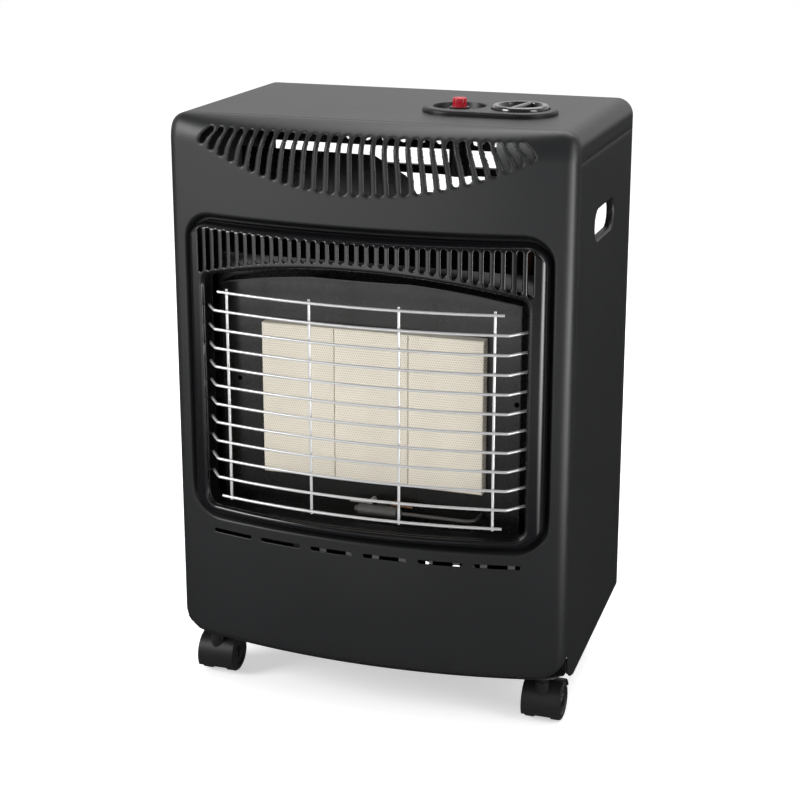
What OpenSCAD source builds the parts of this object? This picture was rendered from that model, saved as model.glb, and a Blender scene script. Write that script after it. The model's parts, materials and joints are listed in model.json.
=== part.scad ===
// Portable gas cabinet heater: a wrapped sheet shell with a bowed front, vent slots,
// louvred bezel, wire guard, three ceramic plaques, top controls and four castors.
// Millimetres, Z up, floor at Z = 0, front towards -Y.

/* [Cabinet] */
// Width across the side panels
cabinet_width = 410; // [390:1:430]
// Height of the top above the floor
cabinet_height = 600; // [580:1:620]
// Depth of the wrapped shell, from the front seam to the open back
shell_depth = 230; // [215:1:250]
// Sheet thickness of the cabinet pressings
sheet = 1.2; // [1:0.1:1.6]
// Radius of the two long top edges
top_edge_radius = 17; // [12:1:20]
// Height of the side panels' lower edge at the front
side_bottom_front = 48; // [47.5:0.5:50]
// Height of the side panels' lower edge at the back
side_bottom_rear = 66; // [60:1:72]
// Height of the strip folded down along the top of the open back
rear_flange_height = 63; // [50:1:70]
// Width of the strips folded in along the sides of the open back
rear_flange_width = 14; // [10:1:18]
// Diameter of the air holes in the strip along the top
air_hole_d = 8; // [6:0.5:10]
// Spacing of those air holes
air_hole_pitch = 20.5; // [18:0.5:24]
// Air holes on each side of the middle one
air_holes_each_side = 5; // [2:1:5]

/* [Front panel] */
// How far the middle of the front stands before the seam
front_depth = 41; // [36:1:46]
// Radius of the rolls that turn the front into the sides
side_roll = 14.4; // [12:0.2:16]
// Radius of the short roll along the top of the front
top_roll = 20; // [14:1:24]
// Height of the front panel's lower edge
front_bottom = 59; // [57:1:62]
// Radius of the front panel's lower corners
front_corner = 28; // [20:1:34]
// Width of the flange folded in along the front panel's lower edge
front_flange = 10; // [8:0.5:12]
// Distance from the side panels' outer faces to the pressed recess
recess_margin = 17; // [15:0.5:24]
// Distance from the top of the cabinet down to the pressed recess
recess_drop = 94; // [91:1:97]
// Height of the pressed recess
recess_height = 317; // [310:1:322]
// Depth of the pressed recess below the panel
recess_depth = 9; // [7:0.5:11]

/* [Vent slots] */
// Vent slots on each side of the middle one
slots_each_side = 14; // [10:1:14]
// Width of a vent slot
slot_width = 6; // [5:0.5:6.5]
// Spacing of the slots' lower ends near the middle
slot_pitch_low = 12.13; // [12:0.01:12.3]
// Spacing of the slots' upper ends
slot_pitch_high = 11.05; // [10.9:0.05:11.2]
// Distance from the top of the cabinet down to the slots' upper ends
slot_drop = 10; // [8:1:12]
// Distance from the top down to the lowest point of the arc that the lower ends follow
slot_arc_drop = 64; // [55:1:68]
// Radius of that arc
slot_arc_radius = 373; // [360:1:400]
// Half length of each small slot in the lower front
low_slot_half = 22; // [18:1:24]
// Distance from the pressed recess down to the row of small slots
low_slot_drop = 12; // [9:1:15]
// Spacing of the small slots
low_slot_pitch = 55.7; // [50:0.1:58]

/* [Bezel] */
// Gap between the bezel and the recess at each side
bezel_gap_side = 5; // [4:0.5:8]
// Gap between the bezel and the recess below
bezel_gap_low = 7; // [5:0.5:9]
// Gap between the bezel and the recess above
bezel_gap_high = 8.5; // [6:0.5:10]
// How far the bezel's middle stands before the front panel's middle
bezel_proud = 11.1; // [9:0.1:12]
// Radius of the bezel's bow
bezel_bow_radius = 567; // [540:1:600]
// Louvre slots on each side of the middle one
louvres_each_side = 17; // [12:1:17]
// Spacing of the louvre slots
louvre_pitch = 9.8; // [9.6:0.1:9.9]
// Width of a louvre slot
louvre_width = 5; // [4:0.5:5.5]
// Distance from the bezel's top down to the louvres' upper ends
louvre_drop = 5.5; // [5:0.5:8]
// Distance from the window's highest point up to the middle louvre's lower end
louvre_rise = 8; // [6:0.5:10]
// Radius of the arc that the louvres' lower ends follow
louvre_arc = 564; // [540:1:640]
// Width of the bezel's face beside the window
window_margin = 18; // [16:0.5:24]
// Height of the bezel's face below the window
window_sill = 11; // [10:0.5:14]
// Distance from the bezel's top down to the highest point of the window's arched top
window_drop = 32.5; // [31:0.5:36]
// Radius of the window's arched top
window_arch = 640; // [600:10:700]
// Depth of the window's folded wall
window_wall = 24; // [20:1:26]

/* [Guard] */
// Diameter of the guard wires
wire_d = 2.8; // [2.4:0.1:3.2]
// Number of level wires
wire_count = 12; // [8:1:12]
// Distance from the window's lower edge up to the lowest wire
wire_rise = 13.3; // [12:0.1:16]
// Distance from the window's highest point down to the highest wire
wire_drop = 33.8; // [32:0.1:38]
// Distance from the window's side to the outer upright bars
bar_inset = 29.3; // [27:0.1:32]
// Radius of the guard's bow
wire_bow = 692; // [660:1:720]

/* [Burners] */
// Width of one ceramic plaque
plaque_width = 76.2; // [74:0.1:76.4]
// Distance from the window's lower edge up to the plaques
plaque_rise = 31; // [29:1:35]
// Height of the plaques
plaque_height = 156; // [150:1:158]
// Thickness of the plaques
plaque_thickness = 13; // [12:0.5:14]
// Distance between the plaques' middles
plaque_pitch = 76.7; // [76.6:0.1:78]
// Front face of the plaques, from the seam, towards the back
plaque_face = 1; // [0:0.5:3]

/* [Controls] */
// Left and right of the control knob's axis
knob_x = 123; // [121:1:124]
// Left and right of the igniter button's axis
button_x = 61.5; // [60:0.5:63]
// Front to back place of both axes, from the seam
controls_back = 91; // [89:1:93]
// Half width of the oval control plate
plate_radius = 36.5; // [35:0.5:38]
// Height of the control plate above the top
plate_height = 7; // [6:0.5:8]
// Diameter of the control knob
knob_d = 55; // [52:0.5:55.5]
// Diameter of the igniter button
button_d = 14; // [12:0.5:15]
// How far the igniter button can be pressed
button_travel = 6; // [4:0.5:6]
// How far the knob can be pressed
knob_travel = 3.5; // [2:0.5:3.5]

/* [Hand holes] */
// Length of the hand hole, front to back
hand_length = 90; // [80:1:100]
// Height of the hand hole
hand_height = 35; // [30:1:40]
// Distance from the top of the cabinet down to its middle
hand_drop = 102; // [95:1:110]
// Distance of its middle behind the seam
hand_back = 110; // [105:1:115]

/* [Heat shield] */
// Width of the notch beside each hand hole
shield_notch = 30; // [28:1:34]
// Distance from the top down to the right half's upper edge
shield_low_drop = 100; // [90:1:110]
// Distance from the top down to the middle of the sloping edge
shield_mid_drop = 69; // [65:1:80]
// Distance from the top down to the left half's upper edge
shield_high_drop = 50; // [48:1:60]
// Width of the rails that carry the shield, from the side panels' outer faces
rail_width = 36; // [32:1:40]
// Distance from the side panels' outer faces to the shield's screws
shield_screw_inset = 25; // [22:1:28]

/* [Base] */
// Distance from the side panels' outer faces to the cylinder shelf
shelf_margin = 33; // [32:1:40]
// Where the base pan ends, behind the seam
pan_reach = 140; // [136:1:144]
// Where the shelf begins, behind the seam
shelf_start = 124; // [122:1:126]
// Distance of the shelf's screws behind the seam
shelf_screw_back = 132; // [130:1:134]
// Distance of the shelf's screws from the middle
shelf_screw_x = 110; // [100:1:120]
// Where the shelf ends, behind the seam
shelf_reach = 338; // [320:1:350]
// Height of the shelf's rim
shelf_rim = 26; // [18:1:30]

/* [Castors] */
// Radius of a castor wheel
wheel_r = 20; // [18:0.5:20.5]
// Width of a castor wheel
wheel_w = 11.8; // [10:0.2:12]
// Space between the two wheels of a castor
wheel_gap = 15.4; // [14:0.2:16]
// Distance from the swivel axis to the axle
castor_trail = 12; // [10:1:14]
// Diameter of the swivel stem
stem_d = 8; // [7:0.5:9]
// Distance from the side panels' outer faces to the front castors' stems
castor_front_inset = 28; // [27:1:35]
// Distance from the shelf's sides to the rear castors' stems
castor_rear_inset = 24; // [22:1:30]
// Front castors' stems, behind the seam
castor_front_back = 12; // [10:1:16]
// Rear castors' stems, behind the seam
castor_rear_back = 278; // [270:1:285]

/* [Gas inlet] */
// Diameter of the hose nozzle
nozzle_d = 9; // [8:0.1:10]
// Length of the hose nozzle
nozzle_length = 24; // [20:1:28]
// Distance from the top of the cabinet down to the inlet
inlet_drop = 38; // [32:1:44]
// Diameter of the supply and main gas pipes
pipe_d = 8; // [6:0.5:8]
// Diameter of the pilot gas pipe
pilot_pipe_d = 4; // [3:0.5:4]

/* [Hidden] */
$fn = 72;
run_gap = 0.1;
seat = 0.03;
seam = -100;
top = cabinet_height;
half = cabinet_width / 2;
inner = half - sheet - seat;
recess_half_width = half - recess_margin;
recess_top = top - recess_drop;
recess_bottom = recess_top - recess_height;
slot_top = top - slot_drop;
slot_arc_low = top - slot_arc_drop;
low_slot_z = recess_bottom - low_slot_drop;
bezel_half_width = recess_half_width - bezel_gap_side;
bezel_bottom = recess_bottom + bezel_gap_low;
bezel_top = recess_top - bezel_gap_high;
window_half_width = bezel_half_width - window_margin;
window_bottom = bezel_bottom + window_sill;
window_top = bezel_top - window_drop;
louvre_count = min(louvres_each_side, floor((bezel_half_width - 13) / louvre_pitch));
wire_low = window_bottom + wire_rise;
wire_high = window_top - wire_drop;
wire_end = window_half_width - 15.5;
bar_x = window_half_width - bar_inset;
plaque_bottom = window_bottom + plaque_rise;
hand_z = top - hand_drop;
notch_z = hand_z - hand_height / 2 - 10.5;
inlet_z = top - inlet_drop;
valve_low = inlet_z - 20;
shelf_half_width = half - shelf_margin;
castor_front_x = half - castor_front_inset;
castor_rear_x = shelf_half_width - castor_rear_inset;
roll_x = half - side_roll;
bow_r = (roll_x * roll_x + front_depth * front_depth - side_roll * side_roll)
        / (2 * (front_depth - side_roll));
bow_y = seam - front_depth + bow_r;
roll_span = max(17, asin(roll_x / (bow_r - side_roll)) + 1.1);
bezel_front = seam - front_depth - bezel_proud;
bezel_y = bezel_front + bezel_bow_radius;
shell_back = seam + shell_depth;
shelf_end = seam + shelf_reach;
frame_shift = -(bezel_front + shelf_end) / 2;
controls_y = seam + controls_back;
hand_y = seam + hand_back;
plaque_y = seam + plaque_face;
backing_y = plaque_y + plaque_thickness;
shield_y = -2;
wire_y0 = bezel_front + 0.1 + wire_d / 2 + wire_bow;
wire_pitch = (wire_high - wire_low) / (wire_count - 1);
burner_back = backing_y + 42;
manifold_y = backing_y + 21;
manifold_z = plaque_bottom - 48;
pilot_x = 11;
pilot_y = plaque_y - 10;
pilot_z = window_bottom + 6;
base_z = front_bottom - sheet - seat;
base_top = base_z + sheet;
stem_top = base_z + 16;

// Moves cabinet coordinates, measured from the seam, into the frame.
module placed() translate([0, frame_shift, 0]) children();

// Extrudes an X-Z outline along Y between two Y values.
module along_y(y0, y1) translate([0, y1, 0]) rotate([90, 0, 0]) linear_extrude(height = y1 - y0) children();

// Extrudes a Y-Z outline along X between two X values.
module along_x(x0, x1) translate([x0, 0, 0]) rotate([90, 0, 90]) linear_extrude(height = x1 - x0) children();

// A rounded rectangle with its own upper and lower corner radii.
module rounded(hw, z0, z1, rt, rb) {
  for (s = [-1, 1]) translate([s * (hw - rt), z1 - rt]) circle(r = rt);
  for (s = [-1, 1]) translate([s * (hw - rb), z0 + rb]) circle(r = rb);
  translate([-(hw - rt), z1 - rt]) square([2 * (hw - rt), rt]);
  translate([-(hw - rb), z0]) square([2 * (hw - rb), rb]);
  translate([-hw, z0 + rb]) square([2 * hw, z1 - rt - z0 - rb]);
}

// A slot with round ends along the second axis.
module slot2(w, z0, z1) {
  translate([-w / 2, z0 + w / 2]) square([w, z1 - z0 - w]);
  translate([0, z0 + w / 2]) circle(d = w, $fn = 24);
  translate([0, z1 - w / 2]) circle(d = w, $fn = 24);
}

// A rod between two heights.
module rod(x, y, z0, z1, d) translate([x, y, z0]) cylinder(d = d, h = z1 - z0, $fn = 32);

// ---- outer shell ----

module wrap(i) {
  along_y(seam - (i > 0 ? 1 : -0.4), shell_back + (i > 0 ? 1 : 0)) {
    translate([-(half - top_edge_radius), top - top_edge_radius])
      circle(r = top_edge_radius - i);
    translate([half - top_edge_radius, top - top_edge_radius])
      circle(r = top_edge_radius - i);
    translate([-(half - top_edge_radius), top - top_edge_radius - 1])
      square([cabinet_width - 2 * top_edge_radius, top_edge_radius + 1 - i]);
    translate([-(half - i), 20])
      square([cabinet_width - 2 * i, top - top_edge_radius - 20]);
  }
}

module hand_outline(i) {
  r = hand_height / 2;
  translate([hand_y - hand_length / 2 + r, hand_z]) circle(r = r - i);
  translate([hand_y + hand_length / 2 - r, hand_z]) circle(r = r - i);
  translate([hand_y - hand_length / 2 + r, hand_z - r + i])
    square([hand_length - 2 * r, 2 * (r - i)]);
}

module outer_shell() color("#1c1c1e") placed() {
  difference() {
    union() {
      difference() {
        wrap(0);
        wrap(sheet);
      }
      along_y(shell_back - sheet, shell_back)
        translate([-(half - 8), top - rear_flange_height])
          square([2 * (half - 8), rear_flange_height - sheet / 2]);
      for (s = [-1, 1])
        translate([s * (half - rear_flange_width / 2 - sheet / 2) - rear_flange_width / 2,
          shell_back - sheet, 60])
          cube([rear_flange_width, sheet, top - top_edge_radius - 60]);
      for (s = [-1, 1])
        along_x(s > 0 ? half - 7 : -half + sheet / 2, s > 0 ? half - sheet / 2 : -half + 7)
          hand_outline(-sheet);
      for (s = [-1, 1])
        translate([s > 0 ? half - rail_width : -half + sheet / 2, shield_y - 0.5 - seat - sheet, 90])
          cube([rail_width - sheet / 2, sheet, notch_z - 94]);
    }
    for (n = [-air_holes_each_side:air_holes_each_side])
      translate([n * air_hole_pitch - 2, shell_back - 5, top - 54]) rotate([-90, 0, 0])
        cylinder(d = air_hole_d, h = 10, $fn = 32);
    for (s = [-1, 1]) for (z = [120, notch_z - 30])
      translate([s * (half - shield_screw_inset), shield_y - 5, z]) rotate([-90, 0, 0])
        cylinder(d = 4.5, h = 10, $fn = 32);
    along_x(-half - 5, half + 5) hand_outline(0);
    along_x(-half - 5, half + 5)
      polygon([[seam - 5, 0], [shell_back + 5, 0],
        [shell_back + 5, side_bottom_rear + 5 * (side_bottom_rear - side_bottom_front) / shell_depth],
        [seam + 26, side_bottom_front + 26 * (side_bottom_rear - side_bottom_front) / shell_depth],
        [seam + 10, side_bottom_front], [seam + 6, side_bottom_front + 4],
        [seam + 4, front_bottom], [seam - 5, front_bottom]]);
    translate([knob_x, controls_y, top - 10]) cylinder(d = knob_d + 6.6, h = 20);
    translate([button_x, controls_y, top - 10]) cylinder(d = 55.6, h = 20);
    translate([knob_x, shell_back - 5, inlet_z]) rotate([-90, 0, 0]) cylinder(d = 12.4, h = 10);
  }
}

// ---- front panel ----

module front_plan(i) {
  touch = roll_x * (bow_r - i) / (bow_r - side_roll);
  intersection() {
    translate([0, bow_y]) circle(r = bow_r - i, $fn = 720);
    union() {
      translate([-touch, seam - 60]) square([2 * touch, 60 + (i > 0 ? 1 : 0)]);
      for (s = [-1, 1]) translate([s * roll_x, seam]) circle(r = side_roll - i + 0.05);
    }
    translate([-half - 1, seam - 60]) square([cabinet_width + 2, 60 + (i > 0 ? 1 : 0)]);
  }
}

module front_solid(i) {
  rho = front_depth + 2;
  difference() {
    intersection() {
      linear_extrude(height = top + 5) front_plan(i);
      along_y(seam - 60, seam + 3)
        rounded(half - i, front_bottom + i, top - i, top_edge_radius - i, front_corner - i);
    }
    difference() {
      translate([-half - 2, seam + 1 - front_depth - 6, top - rho])
        cube([cabinet_width + 4, front_depth + 6, rho + 4]);
      translate([-half - 3, seam + 1, top - rho]) rotate([0, 90, 0])
        cylinder(r = rho - i, h = cabinet_width + 6, $fn = 160);
    }
    translate([0, bow_y, 0]) rotate([0, 0, -90 - roll_span])
      rotate_extrude(angle = 2 * roll_span, $fn = 720) difference() {
      translate([bow_r - top_roll + 0.25, top - top_roll + 0.25]) square([top_roll + 4, top_roll + 4]);
      translate([bow_r - top_roll + 0.25, top - top_roll + 0.25]) circle(r = top_roll - i);
    }
  }
}

// One of the fanned vent slots, leaning towards the middle at its upper end.
module vent_slot(k) {
  xb = slot_pitch_low * k - 0.0021 * k * k * k;
  xt = slot_pitch_high * k;
  r = slot_width / 2;
  zb = slot_arc_low + slot_arc_radius - sqrt(slot_arc_radius * slot_arc_radius - xb * xb) + r;
  zt = slot_top - r;
  lean = atan((xb - xt) / (zt - zb));
  chord = sqrt((xb - xt) * (xb - xt) + (zt - zb) * (zt - zb));
  along_y(seam - 60, seam - 0.5) translate([xb, zb]) rotate([0, 0, lean])
    slot2(slot_width, -r, chord + r);
}

module bow_band(d0, d1) {
  translate([0, 0, 60]) linear_extrude(height = top - 100) intersection() {
    difference() {
      translate([0, bow_y]) circle(r = bow_r - d0, $fn = 720);
      translate([0, bow_y]) circle(r = bow_r - d1, $fn = 720);
    }
    translate([-roll_x, seam - 60]) square([2 * roll_x, 60]);
  }
}

module recess_outline(i) {
  rounded(recess_half_width - i, recess_bottom + i, recess_top - i, 30 - i, 35 - i);
}

module front_panel() color("#1d1d1f") placed() {
  difference() {
    front_solid(0);
    front_solid(sheet);
    for (k = [0:slots_each_side]) vent_slot(k);
    mirror([1, 0, 0]) for (k = [1:slots_each_side]) vent_slot(k);
    along_y(seam - 60, seam - 0.5) recess_outline(0.6);
    for (n = [-2.5:2.5])
      translate([n * low_slot_pitch, 0, 0]) along_y(seam - 60, seam - 0.5)
        translate([0, low_slot_z]) rotate([0, 0, 90]) slot2(4, -low_slot_half, low_slot_half);
    translate([0, 0, front_bottom - 2]) linear_extrude(height = 6) front_plan(front_flange);
  }
  intersection() {
    along_y(seam - 60, seam - 0.5) difference() {
      recess_outline(0);
      recess_outline(sheet);
    }
    bow_band(0.3, recess_depth);
  }
  intersection() {
    along_y(seam - 60, seam - 0.5) difference() {
      recess_outline(0.5);
      recess_outline(11);
    }
    bow_band(recess_depth - sheet, recess_depth);
  }
  for (s = [-1, 1])
    translate([s > 0 ? half - 2.6 - sheet : -half + 2.6, seam - 3.5, 120]) cube([sheet, 15, top - 180]);
  for (s = [-1, 1])
    translate([s > 0 ? half - 3.2 : -half + 0.5, seam - 3.5, 120]) cube([2.7, 3, top - 180]);
}

// ---- bezel ----

module window(i) {
  intersection() {
    rounded(window_half_width - i, window_bottom + i, window_top + 20, 42 - i, 12 - i);
    translate([0, window_top - window_arch]) circle(r = window_arch - i, $fn = 360);
  }
}

module bezel_band(d0, d1) {
  translate([0, 0, 60]) linear_extrude(height = top - 100) intersection() {
    difference() {
      translate([0, bezel_y]) circle(r = bezel_bow_radius - d0, $fn = 720);
      translate([0, bezel_y]) circle(r = bezel_bow_radius - d1, $fn = 720);
    }
    translate([-half + 10, bezel_front - 5]) square([cabinet_width - 20, 80]);
  }
}

module bezel_outline(i) {
  rounded(bezel_half_width - i, bezel_bottom + i, bezel_top - i, 23 - i, 28 - i);
}

module louvre_bezel() color("#111113") placed() {
  difference() {
    intersection() {
      along_y(seam - 60, seam) bezel_outline(0);
      bezel_band(0, 40);
    }
    intersection() {
      along_y(seam - 60, seam) bezel_outline(sheet);
      bezel_band(sheet, 60);
    }
    translate([0, 0, 50]) linear_extrude(height = top)
      translate([0, bow_y]) circle(r = bow_r - recess_depth + sheet + 0.3, $fn = 720);
    along_y(seam - 60, seam) window(0.5);
    for (j = [-louvre_count:louvre_count])
      translate([j * louvre_pitch, 0, 0]) along_y(seam - 60, seam - 5)
        slot2(louvre_width, window_top + louvre_rise - louvre_arc
          + sqrt(louvre_arc * louvre_arc - j * j * louvre_pitch * louvre_pitch), bezel_top - louvre_drop);
  }
  intersection() {
    along_y(seam - 60, seam) difference() {
      window(0);
      window(sheet);
    }
    bezel_band(0.2, window_wall);
  }
}

// ---- guard ----

module level_wire(z, bent) {
  end_x = bent ? wire_end : wire_end - 4.5;
  a = asin(end_x / wire_bow);
  translate([0, wire_y0, z]) rotate([0, 0, -90 - a])
    rotate_extrude(angle = 2 * a, $fn = 720) translate([wire_bow, 0]) circle(d = wire_d, $fn = 20);
  if (bent) for (s = [-1, 1]) {
    y1 = wire_y0 - sqrt(wire_bow * wire_bow - end_x * end_x);
    x2 = window_half_width - sheet - 0.8;
    y2 = y1 + 19;
    turn = atan((y2 - y1) / (x2 - end_x));
    translate([s * end_x, y1, z]) sphere(d = wire_d + 0.3, $fn = 20);
    translate([s * end_x, y1, z]) rotate([0, 0, s > 0 ? turn : 180 - turn]) rotate([0, 90, 0])
      cylinder(d = wire_d, h = sqrt((x2 - end_x) * (x2 - end_x) + (y2 - y1) * (y2 - y1)), $fn = 20);
  }
}

module wire_guard() color("#d9d9dc") placed() {
  for (n = [0:wire_count - 1])
    level_wire(wire_low + n * wire_pitch, n > 0 && n < wire_count - 1);
  for (x = [-bar_x, -bar_x / 3, bar_x / 3, bar_x])
    rod(x, wire_y0 - sqrt(wire_bow * wire_bow - x * x) + wire_d * wire_bow
      / sqrt(wire_bow * wire_bow - x * x) + 0.06, wire_low - 3.2, wire_high + 3.2, wire_d);
}

// ---- heat box ----

module box_outline(i) {
  hw = window_half_width - 12 - i;
  z0 = window_bottom - 5 + i;
  intersection() {
    translate([-hw, z0]) square([2 * hw, window_top - 15 - z0 - i]);
    translate([0, window_top - window_arch]) circle(r = window_arch - 13 - i, $fn = 360);
  }
}

module reflector_housing() color("#232220") placed() {
  difference() {
    along_y(seam - 50, backing_y) box_outline(-1);
    along_y(seam - 80, backing_y + 5) box_outline(0);
    translate([0, 0, 50]) linear_extrude(height = top) difference() {
      translate([-half, seam - 90]) square([cabinet_width, 90]);
      translate([0, bezel_y]) circle(r = bezel_bow_radius - window_wall - 0.2, $fn = 720);
    }
  }
  mid_z = (window_bottom + window_top) / 2;
  along_y(backing_y - 0.4, backing_y + 0.8) difference() {
    union() {
      translate([-window_half_width - 1, window_bottom - 10])
        square([2 * window_half_width + 2, window_top - window_bottom + 4]);
      translate([-inner, mid_z - 30]) square([2 * inner, 60]);
    }
    translate([-1.5 * plaque_pitch - 0.3, plaque_bottom - 0.6])
      square([3 * plaque_pitch + 0.6, plaque_height + 1.2]);
    for (s = [-1, 1]) translate([s * (window_half_width - 20), mid_z - 6]) circle(d = 5, $fn = 24);
    translate([knob_x - 12, pilot_z]) circle(d = pilot_pipe_d + 2, $fn = 24);
  }
  for (s = [-1, 1])
    translate([s > 0 ? inner - sheet : -inner, backing_y, mid_z - 30]) cube([sheet, 14, 60]);
  difference() {
    translate([-92, backing_y, manifold_z + 7 + seat]) cube([184, 30, sheet]);
    for (n = [-1:1]) rod(n * plaque_pitch, manifold_y, manifold_z, manifold_z + 20, 15);
  }
}

module heat_shield() color("#26262a") placed() {
  along_y(shield_y - 0.5, shield_y + 0.5) difference() {
    polygon([[-inner, base_top + 19], [inner, base_top + 19], [inner, notch_z],
      [inner - shield_notch, notch_z], [inner - shield_notch, top - shield_low_drop],
      [24, top - shield_low_drop], [4, top - shield_mid_drop], [-30, top - shield_high_drop],
      [shield_notch - inner, top - shield_high_drop + 2],
      [shield_notch - inner, notch_z], [-inner, notch_z]]);
    for (s = [-1, 1]) for (z = [120, notch_z - 30])
      translate([s * (half - shield_screw_inset), z]) circle(d = 5, $fn = 24);
    for (x = [-120:30:120]) translate([x, 0]) slot2(8, 90, 130);
  }
  for (s = [-1, 1])
    translate([s > 0 ? inner - sheet : -inner, shield_y - 0.5, 90]) cube([sheet, 13, notch_z - 94]);
}

module rear_brace() color("#202024") placed() {
  translate([-inner, shell_back - sheet - 7.3, top - 89]) cube([2 * inner, sheet, 9]);
  translate([-inner, shell_back - sheet - 7.3, top - 81.2]) cube([2 * inner, 7, sheet]);
}

// ---- burners ----

module plaque(x) {
  difference() {
    translate([x - plaque_width / 2, plaque_y, plaque_bottom])
      cube([plaque_width, plaque_thickness, plaque_height]);
    for (n = [0:11])
      translate([x - plaque_width / 2 + 4, plaque_y - 1,
        plaque_bottom + 5.65 + n * (plaque_height - 12) / 11])
        cube([plaque_width - 8, 1.5, 0.7]);
  }
}

module plaque_left() color("#efe9dc") placed() plaque(-plaque_pitch);
module plaque_centre() color("#efe9dc") placed() plaque(0);
module plaque_right() color("#efe9dc") placed() plaque(plaque_pitch);

module burner(x) {
  w = plaque_width - 1;
  difference() {
    union() {
      translate([x - w / 2, backing_y + 0.8 + seat, plaque_bottom - 4]) cube([w, 40, plaque_height + 8]);
      translate([x - w / 2, backing_y + seat, plaque_bottom]) cube([w, 2, plaque_height]);
      rod(x, manifold_y, manifold_z + 19, plaque_bottom, 24);
      translate([x, manifold_y, manifold_z + 19]) cylinder(d = 30, h = 5);
    }
    translate([x - w / 2 + 1, backing_y + 2, plaque_bottom - 3]) cube([w - 2, 37.9, plaque_height + 6]);
    translate([x - w / 2 + 5, backing_y - 2, plaque_bottom + 5]) cube([w - 10, 6, plaque_height - 10]);
    rod(x, manifold_y, manifold_z + 10, plaque_bottom + 2, 21);
  }
}

module burner_left() color("#8d8f92") placed() burner(-plaque_pitch);
module burner_centre() color("#8d8f92") placed() burner(0);
module burner_right() color("#8d8f92") placed() burner(plaque_pitch);

module gas_manifold() color("#a9abad") placed() {
  difference() {
    translate([-100, manifold_y, manifold_z]) rotate([0, 90, 0]) cylinder(d = 14, h = knob_x + 119);
    translate([-98, manifold_y, manifold_z]) rotate([0, 90, 0]) cylinder(d = 11, h = knob_x + 115);
    for (n = [-1:1]) rod(n * plaque_pitch, manifold_y, manifold_z, manifold_z + 10, 6.04);
    translate([knob_x + 11, manifold_y, manifold_z]) rotate([-90, 0, 0]) cylinder(d = pipe_d + 0.04, h = 20);
  }
}

module injectors() color("#c39b4a") placed() {
  for (n = [-1:1]) {
    difference() {
      union() {
        rod(n * plaque_pitch, manifold_y, manifold_z + 5.8, manifold_z + 9, 6);
        translate([n * plaque_pitch, manifold_y, manifold_z + 7.2]) cylinder(d = 11, h = 5, $fn = 6);
        rod(n * plaque_pitch, manifold_y, manifold_z + 12, manifold_z + 16, 5);
      }
      rod(n * plaque_pitch, manifold_y, manifold_z, manifold_z + 20, 1.6);
    }
  }
}

module pilot_burner() color("#9a9890") placed() {
  difference() {
    union() {
      translate([pilot_x - 20, pilot_y, pilot_z]) rotate([0, 90, 0]) cylinder(d = 12, h = 40);
      translate([pilot_x - 24, pilot_y, pilot_z]) rotate([0, 90, 0]) cylinder(d = 7, h = 48);
      translate([pilot_x - 5, pilot_y, pilot_z - 3]) cube([10, backing_y - 0.4 - seat - pilot_y, 6]);
    }
    translate([pilot_x + 18, pilot_y, pilot_z]) rotate([0, 90, 0]) cylinder(d = pilot_pipe_d + 0.04, h = 10);
  }
}

// A thin rod from the backing plate that turns to lie along the pilot burner.
module probe(x, s, d0, d1) {
  y = pilot_y + 9;
  translate([x, y - 1.3, pilot_z + 4]) rotate([-90, 0, 0])
    cylinder(d = d0, h = backing_y - 0.4 - seat - y + 1.3, $fn = 32);
  translate([x + (s > 0 ? -1.2 : -20.8), y, pilot_z + 4.3]) rotate([0, 90, 0])
    cylinder(d = d1, h = 22, $fn = 24);
}

module thermocouple() color("#b7a58a") placed() probe(pilot_x + 12, 1, 4.4, 3);

module spark_electrode() color("#e8e6e0") placed() probe(pilot_x - 12, -1, 5, 2);

// ---- gas valve and controls ----

module gas_valve() color("#b9bcc0") placed() {
  difference() {
    union() {
      translate([knob_x - 19, controls_y - 17, valve_low]) cube([38, 34, 42]);
      rod(knob_x, controls_y, valve_low + 41, top - 5.8, 20);
      translate([knob_x, controls_y + 16, inlet_z]) rotate([-90, 0, 0]) cylinder(d = 14, h = 8);
      rod(knob_x + 11, controls_y, valve_low - 7, valve_low + 1, 14);
      rod(knob_x - 12, controls_y - 8, valve_low - 7, valve_low + 1, 9);
    }
    rod(knob_x, controls_y, valve_low + 8, top, 12 + 2 * run_gap);
    translate([knob_x, controls_y + 10, inlet_z]) rotate([-90, 0, 0]) cylinder(d = pipe_d + 0.04, h = 20);
    rod(knob_x + 11, controls_y, valve_low - 12, valve_low + 8, pipe_d + 0.04);
    rod(knob_x - 12, controls_y - 8, valve_low - 12, valve_low + 6, pilot_pipe_d + 0.04);
  }
}

module valve_plug() color("#c9a24f") placed() {
  difference() {
    union() {
      rod(knob_x, controls_y, valve_low + 8.4, top - 6.4, 12);
      rod(knob_x, controls_y, top - 7, top - 3.4, 10);
    }
    rod(knob_x, controls_y, valve_low + 14, top, 6 + 2 * run_gap);
    translate([knob_x - 8, controls_y, inlet_z - 2]) rotate([0, 90, 0]) cylinder(d = 3, h = 16, $fn = 24);
  }
}

module valve_spindle() color("#b9bcc0") placed() rod(knob_x, controls_y, valve_low + 19, top + 5, 6);

module control_knob() color("#19191b") placed() {
  difference() {
    union() {
      translate([knob_x, controls_y, top + 1.2]) cylinder(d = knob_d, h = 6.6);
      translate([knob_x, controls_y, top + 7]) cylinder(d = knob_d - 3, h = 2);
    }
    translate([knob_x, controls_y, top + 6]) difference() {
      cylinder(d = knob_d - 13, h = 5);
      rotate([0, 0, 35]) translate([-knob_d / 2, -4, -1]) cube([knob_d, 8, 7]);
    }
    translate([knob_x, controls_y, top]) difference() {
      cylinder(d = knob_d - 7, h = 4);
      translate([0, 0, -1]) cylinder(d = 12, h = 6);
    }
    rod(knob_x, controls_y, top, top + 5.1, 5.96);
  }
}

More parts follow.
